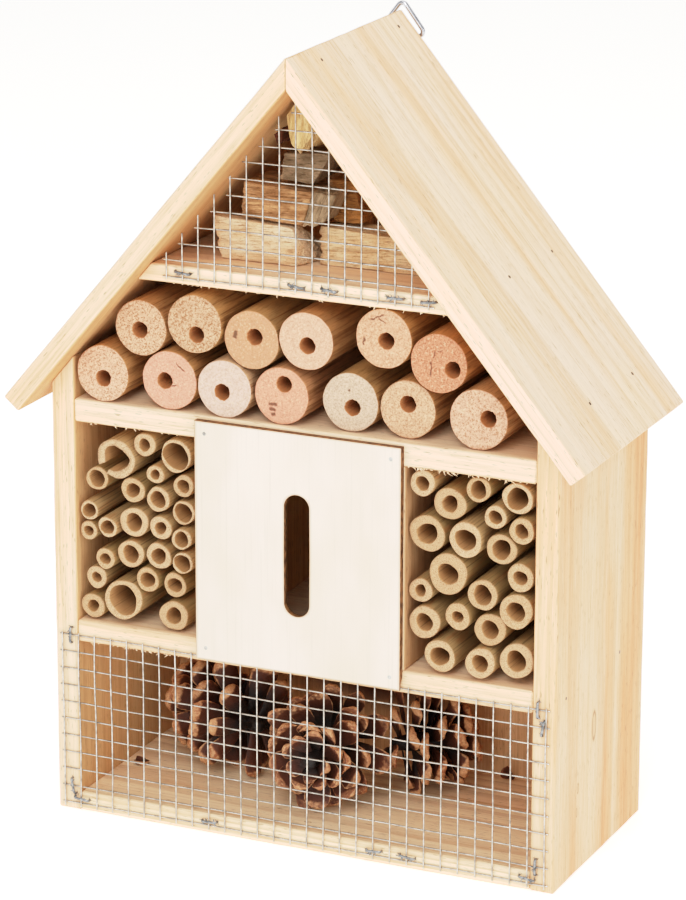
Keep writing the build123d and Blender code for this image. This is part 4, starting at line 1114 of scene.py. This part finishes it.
def crossHead(look):
    # a pan head: rings of a dome, sunk where they cross the two arms of the drive
    angle = np.arange(96) / 96 * 2 * math.pi
    low, high = boxOf("hanger_screw")
    radius, face = (high[0] - low[0]) / 2, strapHigh[1] - (strapHigh[1] - axisY) * 2 + look["thick"]
    middle = np.array([(low[0] + high[0]) / 2, 0, (low[2] + high[2]) / 2])
    tall = high[1] - face
    rings = []
    profile = [(0.35, -4.0), (0.5, -0.4), (0.97, 0.0), (1.0, 0.18), (0.98, 0.42)]
    profile += [(math.cos(b), 0.42 + 0.58 * math.sin(b)) for b in np.linspace(0.35, 1.5, 22)]
    for size, reach in profile:
        flat = np.column_stack([np.cos(angle), np.sin(angle)]) * size * radius
        arm = np.minimum(np.abs(flat[:, 0]), np.abs(flat[:, 1]))
        far = np.maximum(np.abs(flat[:, 0]), np.abs(flat[:, 1]))
        sunk = np.clip((0.34 - arm) / 0.1, 0, 1) * np.clip((1.15 - far) / 0.15, 0, 1) * (reach > 0.42)
        rings.append(middle + np.column_stack([flat[:, 0], face + reach * tall - sunk * 0.7, flat[:, 1]]))
    return skin(np.array(rings))


makePiece("plated_strap", [strapPart(hangerForm)], chrome, ["hanger_strap"])
makePiece("plated_screw", [crossHead(hangerForm)], chrome, ["hanger_screw"])
print("hanger made")


def chunkSkin(node, look, seed):
    # a direction grid on the six faces of a cube. Each direction meets the piece's flat faces at a
    # distance, and a power mean of those distances gives the surface, so its edges are softly rounded. It
    # is then torn by noise drawn out along the grain, most at its two ends.
    points, triangles = trianglesOf(node)
    a, b, c = (points[triangles[:, k]] for k in range(3))
    normal = np.cross(b - a, c - a)
    area = np.linalg.norm(normal, axis=1)
    normal, a = normal[area > 1e-6] / area[area > 1e-6][:, None], a[area > 1e-6]
    middle = (points.min(axis=0) + points.max(axis=0)) / 2
    planes = np.unique(np.round(np.column_stack([normal, ((a - middle) * normal).sum(axis=1)]), 3), axis=0)
    count = look["count"]
    line = np.tan(np.linspace(-math.pi / 4, math.pi / 4, count))
    u, v = np.meshgrid(line, line, indexing="ij")
    grids, quads = [], []
    for axis in range(3):
        for level in (-1, 1):
            face = np.zeros((count, count, 3))
            face[..., axis], face[..., (axis + 1) % 3], face[..., (axis + 2) % 3] = level, u, v
            index = len(grids) * count * count + np.arange(count * count).reshape(count, count)
            cell = np.stack([index[:-1, :-1], index[1:, :-1], index[1:, 1:], index[:-1, 1:]], axis=-1)
            quads.append(cell.reshape(-1, 4) if level > 0 else cell.reshape(-1, 4)[:, ::-1])
            grids.append(face.reshape(-1, 3))
    merged, inverse = np.unique(np.round(np.concatenate(grids), 6), axis=0, return_inverse=True)
    quads = inverse.ravel()[np.concatenate(quads)]
    size = (points.max(axis=0) - points.min(axis=0)) / 2
    heading = merged * size
    heading /= np.linalg.norm(heading, axis=1)[:, None]
    share = np.clip(heading @ planes[:, :3].T, 0, None) / planes[:, 3]
    reach = (share ** look["crisp"]).sum(axis=1) ** (-1 / look["crisp"])
    place = heading * reach[:, None]
    lie = np.array(look["grain"], float) / np.linalg.norm(look["grain"])
    along = place @ lie
    end = np.clip((np.abs(along) / np.abs(along).max() - 0.8) / 0.18, 0, 1)
    drawn = place - lie * along[:, None] * 0.94
    fibre = softNoise(drawn, look["fibre"], seed) + 0.5 * softNoise(drawn, look["fibre"] * 0.45, seed + 1)
    lump = softNoise(place, 9, seed + 2)
    fine = softNoise(place - lie * along[:, None] * 0.8, 0.9, seed + 3)
    inward = look["tear"] * np.clip(fibre + 0.2, 0, 2) + look["lump"] * np.clip(lump + 0.3, 0, 2)
    inward = inward + 0.12 * fine
    place = place - heading * inward[:, None] * (1 - 0.6 * end)[:, None]
    height = np.clip((place[:, 2] + size[2]) / size[2] / 2, 0, 1)
    place[:, 0] *= 1 - look["taper"] * (1 - height)
    across = place - lie * along[:, None]
    torn = end * look["ragged"] * np.clip(softNoise(across, 1.7, seed + 4) + 0.35, 0, 1.4)
    place = place - lie * (np.sign(along) * torn)[:, None]
    # the second mask is high where tearing sinks the surface, for the painted shade in the hollows
    masks = np.column_stack([end, np.clip(fibre * 0.5 + 0.5, 0, 1), np.clip(lump * 0.5 + 0.5, 0, 1),
                             np.ones(len(end))])
    quads, triangles = turnOutward(place, quads, np.zeros((0, 3), int))
    return {"points": place + middle, "quads": quads, "triangles": triangles, "masks": masks}


chunkCommon = {"count": 84, "crisp": 60, "grain": (1, 0.1, 0.05), "fibre": 1.7, "tear": 0.45, "lump": 0.35,
               "ragged": 1.2, "face": (236, 186, 136), "shade": (196, 144, 96), "fleck": (104, 66, 34),
               "cut": (190, 148, 108), "layer": 0.6, "taper": 0.0}
chunkLooks = {
    "chunk_low_left": {"face": (250, 222, 184), "shade": (242, 200, 154), "fleck": (150, 104, 62), "tear": 0.3,
                       "ragged": 2.2, "cut": (226, 184, 140)},
    "chunk_low_right": {"face": (250, 216, 170), "shade": (234, 190, 140), "fleck": (150, 104, 60),
                        "layer": 0.8},
    "chunk_mid_left": {"face": (216, 164, 114), "shade": (150, 104, 64), "fleck": (84, 50, 24), "layer": 1.0},
    "chunk_mid_grey": {"face": (166, 140, 108), "shade": (120, 97, 70), "fleck": (70, 52, 33), "tear": 0.8,
                       "grain": (0.4, 0.2, 1), "ragged": 2.0},
    "chunk_mid_right": {"face": (177, 117, 61), "shade": (133, 85, 39), "fleck": (85, 50, 20), "tear": 0.8,
                        "lump": 0.9},
    "chunk_top_grey": {"face": (148, 122, 94), "shade": (110, 88, 64), "fleck": (72, 55, 36), "tear": 0.5},
    "chunk_peak": {"face": (240, 208, 150), "shade": (212, 172, 112), "fleck": (120, 86, 46), "tear": 1.0,
                   "grain": (0.1, 0.1, 1), "ragged": 2.4, "taper": 0.5, "fibre": 1.3},
    "bark_scrap": {"face": (91, 45, 25), "shade": (58, 25, 13), "fleck": (44, 20, 12), "tear": 0.8,
                   "grain": (0.3, 1, 0.6), "cut": (78, 39, 22)},
}


def chunkFinish(name, look):
    # split wood: lengthwise fibres that follow the grain, darker in the hollows as painted shade, sawn ends
    # greyer and pitted
    lie = Vector(look["grain"]).normalized()
    turn = lie.rotation_difference(Vector((1, 0, 0))).to_euler()
    finish = Finish(name, {"Specular IOR Level": 0.2})
    local = finish.place(tuple(math.degrees(angle) for angle in turn))
    end, hollow, lump = finish.wearAndShade()
    fibre = finish.noise(finish.stretch(local, (16, 0.7, 0.7)), 4.0, 0.65)
    layer = finish.noise(finish.stretch(local, (60, 8, 2.0)), 3.0)
    stain = finish.noise(finish.stretch(local, (14, 6, 6)), 3.0)
    grit = finish.noise(finish.stretch(local, (1.2, 0.6, 0.6)), 3.0, 0.7)
    colour = finish.mix(finish.fade(stain, 0.35, 0.68), tone(*look["face"]), tone(*look["shade"]))
    # the torn hollows take the shade colour: painted shade
    colour = finish.mix(finish.fade(hollow, 0.55, 0.9) * 0.6, colour, tone(*look["shade"]))
    colour = finish.mix(finish.fade(layer, 0.5, 0.66) * look["layer"] * 0.5, colour, tone(*look["fleck"]))
    colour = finish.mix(finish.fade(fibre, 0.5, 0.68) * 0.75, colour, tone(*look["fleck"]))
    colour = finish.mix(finish.fade(fibre, 0.46, 0.3) * 0.5, colour, shade(look["face"], 1.1))
    colour = finish.mix(finish.fade(grit, 0.54, 0.68) * 0.5, colour, tone(*look["fleck"]))
    sawn = finish.mix(finish.fade(grit, 0.48, 0.64), tone(*look["cut"]), tone(*look["fleck"]))
    colour = finish.mix(end * 0.7, colour, sawn)
    return finish.paint(colour=colour, rough=0.7 + fibre * 0.2,
                        normal=finish.bump(fibre * 1.4 + grit + layer * 0.5, 0.6, 0.9))


for index, (node, own) in enumerate(chunkLooks.items()):
    look = dict(chunkCommon, **own)
    slotName = "bark" if node == "bark_scrap" else "split_wood"
    makePiece("split_" + node, [chunkSkin(node, look, 300 + 10 * index)], chunkFinish(node + "_wood", look),
              [node])
print("split wood made")


def coneScale(root, outward, axis, size, look, seed):
    # One scale: a narrow claw that widens to a rounded end. Its middle line leans and curls towards the
    # tip; the section is a thin lens, hollow like a spoon above, that swells near the end into a thick lip
    # with a ragged rim. Noise shortens the end here and there and roughens the lip.
    rng = np.random.default_rng(seed)
    rows, columns = look["scaleRows"], look["scaleColumns"]
    u = np.concatenate([np.linspace(0, 0.78, rows - 6), [0.84, 0.89, 0.93, 0.965, 0.99, 1.0]])
    lean = np.radians(size["lean"] + 7 * rng.standard_normal() + size["curl"] * u ** 1.6)
    step = np.diff(u) * size["length"]
    out = np.concatenate([[0], np.cumsum(np.cos(lean[:-1]) * step)])
    rise = np.concatenate([[0], np.cumsum(np.sin(lean[:-1]) * step)])
    sideways = np.cross(axis, outward)
    angle = np.arange(columns) / columns * 2 * math.pi
    across, over = np.cos(angle), np.sin(angle)
    wide = size["width"] / 2 * (0.3 + 0.7 * np.sin(np.clip(u / 0.8, 0, 1) * math.pi / 2) ** 2)
    wide *= np.where(u > 0.8, np.sqrt(np.clip(1 - ((u - 0.8) / 0.215) ** 2, 0.02, 1)), 1)
    thick = size["thick"] * (0.28 + 0.72 * np.clip((u - 0.6) / 0.26, 0, 1) ** 1.4)
    thick *= np.where(u > 0.93, np.sqrt(np.clip(1 - ((u - 0.93) / 0.08) ** 2, 0.03, 1)), 1)
    flat = np.sign(across) * np.abs(across) ** 0.8
    hollow = look["spoon"] * wide[:, None] * across[None] ** 2 * np.clip(u / 0.4, 0, 1)[:, None]
    below = np.where(over < 0, 1.3, 0.7)
    bump = np.exp(-((u[:, None] - 0.9) / 0.07) ** 2 - (across[None] / 0.4) ** 2) * 0.9 * (over < 0)
    lift = hollow + thick[:, None] / 2 * (over * below * (1 - 0.35 * across ** 4))[None] - bump
    lift += 0.2 * rng.standard_normal() * across[None] * wide[:, None] * u[:, None]
    upward = -np.sin(lean)[:, None, None] * outward + np.cos(lean)[:, None, None] * axis
    forward = np.cos(lean)[:, None, None] * outward + np.sin(lean)[:, None, None] * axis
    rings = root + out[:, None, None] * outward + rise[:, None, None] * axis
    rings = rings + (wide[:, None] * flat[None])[..., None] * sideways + lift[..., None] * upward
    end = np.clip((u[:, None] - 0.6) / 0.3, 0, 1)
    jag = softNoise(rings * 1.0, 2.6, seed) + 0.6 * softNoise(rings, 1.1, seed + 1)
    rings += forward * (look["ragged"] * jag * end)[..., None]
    rings += upward * (0.35 * softNoise(rings, 2.2, seed + 2) * (0.3 + end))[..., None]
    rings += sideways * (0.5 * look["ragged"] * softNoise(rings, 1.8, seed + 3) * end)[..., None]
    masks = np.ones((rows, columns, 4))
    rim = np.abs(across[None]) ** 6 * np.clip((u[:, None] - 0.35) / 0.35, 0, 1)
    lip = np.clip((u[:, None] - 0.8) / 0.1, 0, 1) * np.where(over < 0, 1.0, 0.7)
    masks[..., 0] = np.clip(np.maximum(rim, lip) + 0.25 * jag * end, 0, 1)
    masks[..., 1] = rng.random()
    masks[..., 2] = u[:, None]
    return skin(rings, masks.clip(0, 1))


def coneParts(place, axis, look, seed):
    # scales wound up the spindle by the golden angle; each one's length, lean and width follow the cone's
    # outline
    rng = np.random.default_rng(seed)
    axis = np.array(axis, float) / np.linalg.norm(axis)
    side = np.cross(axis, [0.1, 0.2, 1.0])
    side /= np.linalg.norm(side)
    other = np.cross(axis, side)
    base = np.array(place, float) - axis * look["length"] / 2
    spindle = np.linspace(0.04, 0.86, 12)
    core = look["core"] * np.sin(math.pi * (0.1 + 0.85 * spindle)) ** 0.6
    parts = [tube(base + spindle[:, None] * look["length"] * axis, core, 14, other)]
    for index in range(look["scales"]):
        share = (index + 0.5) / look["scales"]
        rise = look["length"] * (0.05 + look["reach"] * share ** 0.85)
        swing = index * math.radians(137.508) + look["swing"] + 0.1 * rng.standard_normal()
        outward = math.cos(swing) * side + math.sin(swing) * other
        profile = math.sin(math.pi * (0.17 + 0.73 * share) ** 0.8) ** 0.7
        size = {"length": look["radius"] * profile * (1 + 0.07 * rng.standard_normal()),
                "lean": look["leanBase"] + (look["leanTip"] - look["leanBase"]) * share ** 1.2,
                "curl": look["curl"], "thick": look["thick"] * (0.55 + 0.45 * profile),
                "width": look["width"] * (0.45 + 0.55 * profile) * (1 + 0.1 * rng.standard_normal())}
        parts.append(coneScale(base + axis * rise + outward * 1.5, outward, axis, size, look, seed + 5 * index))
    return parts


coneCommon = {"scaleRows": 17, "scaleColumns": 20, "spoon": 0.24, "core": 4.6, "scales": 58, "curl": 26,
              "leanBase": -14, "leanTip": 44, "width": 12.0, "thick": 3.0, "ragged": 0.7, "reach": 0.72,
              "swing": 0.0}
coneLooks = {
    "pine_cone_left": {"tip": (-0.87, 0.49, 0.02), "middle": (-70, 9.5, 35.8), "length": 72, "radius": 26,
                       "scales": 56, "width": 12.5, "swing": 0.6},
    "pine_cone_middle": {"tip": (0.12, -0.99, 0.03), "middle": (-3, -22, 35.8), "length": 50, "radius": 27,
                         "scales": 48, "width": 11.5, "thick": 3.0, "leanBase": 0, "leanTip": 40, "swing": 1.9},
    "pine_cone_right": {"tip": (0.85, 0.5, 0.05), "middle": (35, 19.5, 31.8), "length": 44, "radius": 23.5,
                        "scales": 46, "width": 11.5, "swing": 0.2},
}


def coneFinish(name):
    # Dry scales: nearly black at the claw, partly the scale's own dark base and partly painted shade where the
    # scales overlap; red-brown along the scale, tan and worn at the ragged lip, with fine lines that run out
    # along the scale and darker grains in them.
    finish = Finish(name, {"Specular IOR Level": 0.35})
    local = finish.place()
    lip, own, along = finish.wearAndShade()
    cloud = finish.noise(finish.stretch(local, (3.2, 3.2, 3.2)), 3.0)
    patch = finish.noise(finish.stretch(local, (1.5, 1.5, 1.5)), 2.0)
    grit = finish.noise(finish.stretch(local, (0.55, 0.55, 0.55)), 3.0, 0.65)
    # near black at the claw: partly the scale's dark base, partly painted shade between the scales
    body = finish.mix(finish.fade(along, 0.4, 0.95), tone(14, 6, 3), tone(84, 38, 18))
    body = finish.mix(finish.fade(own * 0.6 + cloud * 0.6, 0.45, 0.9) * 0.6, body, tone(84, 38, 18))
    body = finish.mix(finish.fade(cloud, 0.52, 0.75) * 0.45, body, tone(40, 19, 10))
    edge = finish.fade(lip + (patch - 0.5) * 0.7, 0.42, 0.95)
    colour = finish.mix(edge * 0.9, body, finish.mix(own, tone(206, 148, 104), tone(166, 98, 60)))
    colour = finish.mix(finish.fade(edge * patch, 0.42, 0.6) * 0.6, colour, tone(216, 166, 118))
    colour = finish.mix(finish.fade(grit, 0.5, 0.7) * 0.45, colour, tone(58, 28, 13))
    return finish.paint(colour=colour, rough=0.4 + cloud * 0.3, normal=finish.bump(grit + patch, 0.4, 0.8))


scaleBrown = coneFinish("cone_scales")
for index, (node, own) in enumerate(coneLooks.items()):
    look = dict(coneCommon, **own)
    makePiece("scales_" + node, coneParts(look["middle"], look["tip"], look, 500 + 400 * index),
              scaleBrown, [node])
print("pine cones made")

# Torn fibres hang from the sawn lower front edges of three shelves: each is a thin tapering tube that
# leaves the edge, bends down and ends in a point. A run gives the height, first and last place across, and
# how many.
fringe = {"attic": (boxOf("attic_shelf")[0][2], -60, 88, 26),
          "upper": (boxOf("upper_shelf")[0][2], 50, 107, 44),
          "lower": (boxOf("lower_shelf")[0][2], -106, -52, 26),
          "upperLeft": (boxOf("upper_shelf")[0][2], -106, -52, 12)}
rng = np.random.default_rng(77)
fibres = []
for height, first, last, count in fringe.values():
    for _ in range(count):
        root = np.array([first + (last - first) * rng.random(), -52.3 + 0.5 * rng.random(), height + 0.15])
        reach = 0.3 + 1.5 * rng.random() ** 3
        swing = 0.9 * rng.standard_normal()
        tip = root + np.array([swing * reach * 0.8, 0.3 * rng.standard_normal(), -reach])
        bow = (root + tip) / 2 + np.array([0.25 * rng.standard_normal(), 0.1, -0.1])
        fibres.append(tube([root, bow, tip], [0.2 + 0.25 * rng.random(), 0.17, 0.05], 5, (0.2, 0.9, 0.3)))
makePiece("torn_fibres", fibres, woodFinish("fringe_wood", dict(softwood, turn=(0, 90, 0))))

# loose scales on the floor of the cone bay: where each one starts, which way it runs, its upper side, its
# length
looseScales = [((64, 40, 10.6), (-0.6, -0.3, 0.5), (0.3, -0.8, 0.5), 7.0),
               ((-103, -8, 10.2), (0.7, -0.7, 0), (0, 0, 1), 8.0),
               ((-101, -14, 10.2), (0.2, 0.9, 0.1), (0.1, 0, 1), 5.0)]
flakes = []
for index, (place, heading, up, length) in enumerate(looseScales):
    heading = np.array(heading, float) / np.linalg.norm(heading)
    flakes.append(coneScale(np.array(place, float), heading, np.array(up, float) / np.linalg.norm(up),
                            {"length": length, "lean": 4, "curl": 20, "width": length * 0.95, "thick": 1.6},
                            coneCommon, 900 + index))
makePiece("loose_scales", flakes, scaleBrown)
print("loose bits made")

studio = {"cameraPlace": (0.70181, -1.54984, 0.69231), "lookAt": (0.056256, -0.131196, 0.213319),
          "roll": 0.152, "lens": 161.85, "sky": 0.46, "floorTone": (250, 249, 247), "floorGlow": 0.48,
          "shoulder": [(0.12, 0.23), (0.25, 0.455), (0.4, 0.645), (0.62, 0.795), (0.83, 0.885)]}


def softLight(name, place, aim, size, power):
    # a round area light that faces its aim
    lamp = bpy.data.lights.new(name, "AREA")
    lamp.shape = "DISK"
    lamp.size = size
    lamp.energy = power
    light = bpy.data.objects.new(name, lamp)
    light.location = place
    light.rotation_mode = "QUATERNION"
    light.rotation_quaternion = (Vector(aim) - Vector(place)).to_track_quat("-Z", "Y")
    bpy.context.scene.collection.objects.link(light)


cameraData = bpy.data.cameras.new("studioCamera")
cameraData.lens = studio["lens"]
cameraData.sensor_width = 36
cameraData.clip_start = 0.05
cameraData.clip_end = 50
camera = bpy.data.objects.new("studioCamera", cameraData)
camera.location = studio["cameraPlace"]
gaze = (Vector(studio["lookAt"]) - Vector(studio["cameraPlace"])).to_track_quat("-Z", "Y")
camera.rotation_mode = "QUATERNION"
camera.rotation_quaternion = gaze @ Quaternion((0, 0, 1), math.radians(studio["roll"]))
bpy.context.scene.collection.objects.link(camera)
bpy.context.scene.camera = camera
view = bpy.context.scene.view_settings
view.view_transform = "Standard"
view.use_curve_mapping = True
shoulder = view.curve_mapping.curves[3]
for level, shown in studio["shoulder"]:
    shoulder.points.new(level, shown)
view.curve_mapping.update()

world = bpy.data.worlds.new("paleRoom")
world.use_nodes = True
world.node_tree.nodes["Background"].inputs["Color"].default_value = (1, 1, 1, 1)
world.node_tree.nodes["Background"].inputs["Strength"].default_value = studio["sky"]
bpy.context.scene.world = world
# each light's place, aim, width and power
lamps = {"frontBox": ((0.1, -1.9, 0.6), (0, 0, 0.17), 1.4, 5.0),
         "sideBox": ((1.7, -0.7, 0.8), (0, 0, 0.2), 1.0, 4.3),
         "highBox": ((0.3, -1.45, 1.5), (0, 0, 0.15), 1.0, 9.5),
         "topBox": ((0, 0, 2.0), (0, 0, 0.1), 1.6, 6)}
for name, plan in lamps.items():
    softLight(name, *plan)

floorGrid = np.linspace(-4, 4, 9) / mm
floorPoints = np.array([(x, y, 0) for x in floorGrid for y in floorGrid], float)
floorIndex = np.arange(81).reshape(9, 9)
floorQuads = np.stack([floorIndex[:-1, :-1], floorIndex[1:, :-1], floorIndex[1:, 1:], floorIndex[:-1, 1:]],
                      axis=-1).reshape(-1, 4)
floorFinish = Finish("pale_floor", {"Base Color": tone(*studio["floorTone"]), "Roughness": 0.9,
                                    "Specular IOR Level": 0.0, "Emission Color": tone(*studio["floorTone"]),
                                    "Emission Strength": studio["floorGlow"]})
floorMesh = bpy.data.meshes.new("studioFloor")
floorMesh.from_pydata((floorPoints * mm).tolist(), [], floorQuads.tolist())
floorMesh.materials.append(floorFinish.material)
floor = bpy.data.objects.new("studioFloor", floorMesh)
bpy.context.scene.collection.objects.link(floor)

print("studio made")
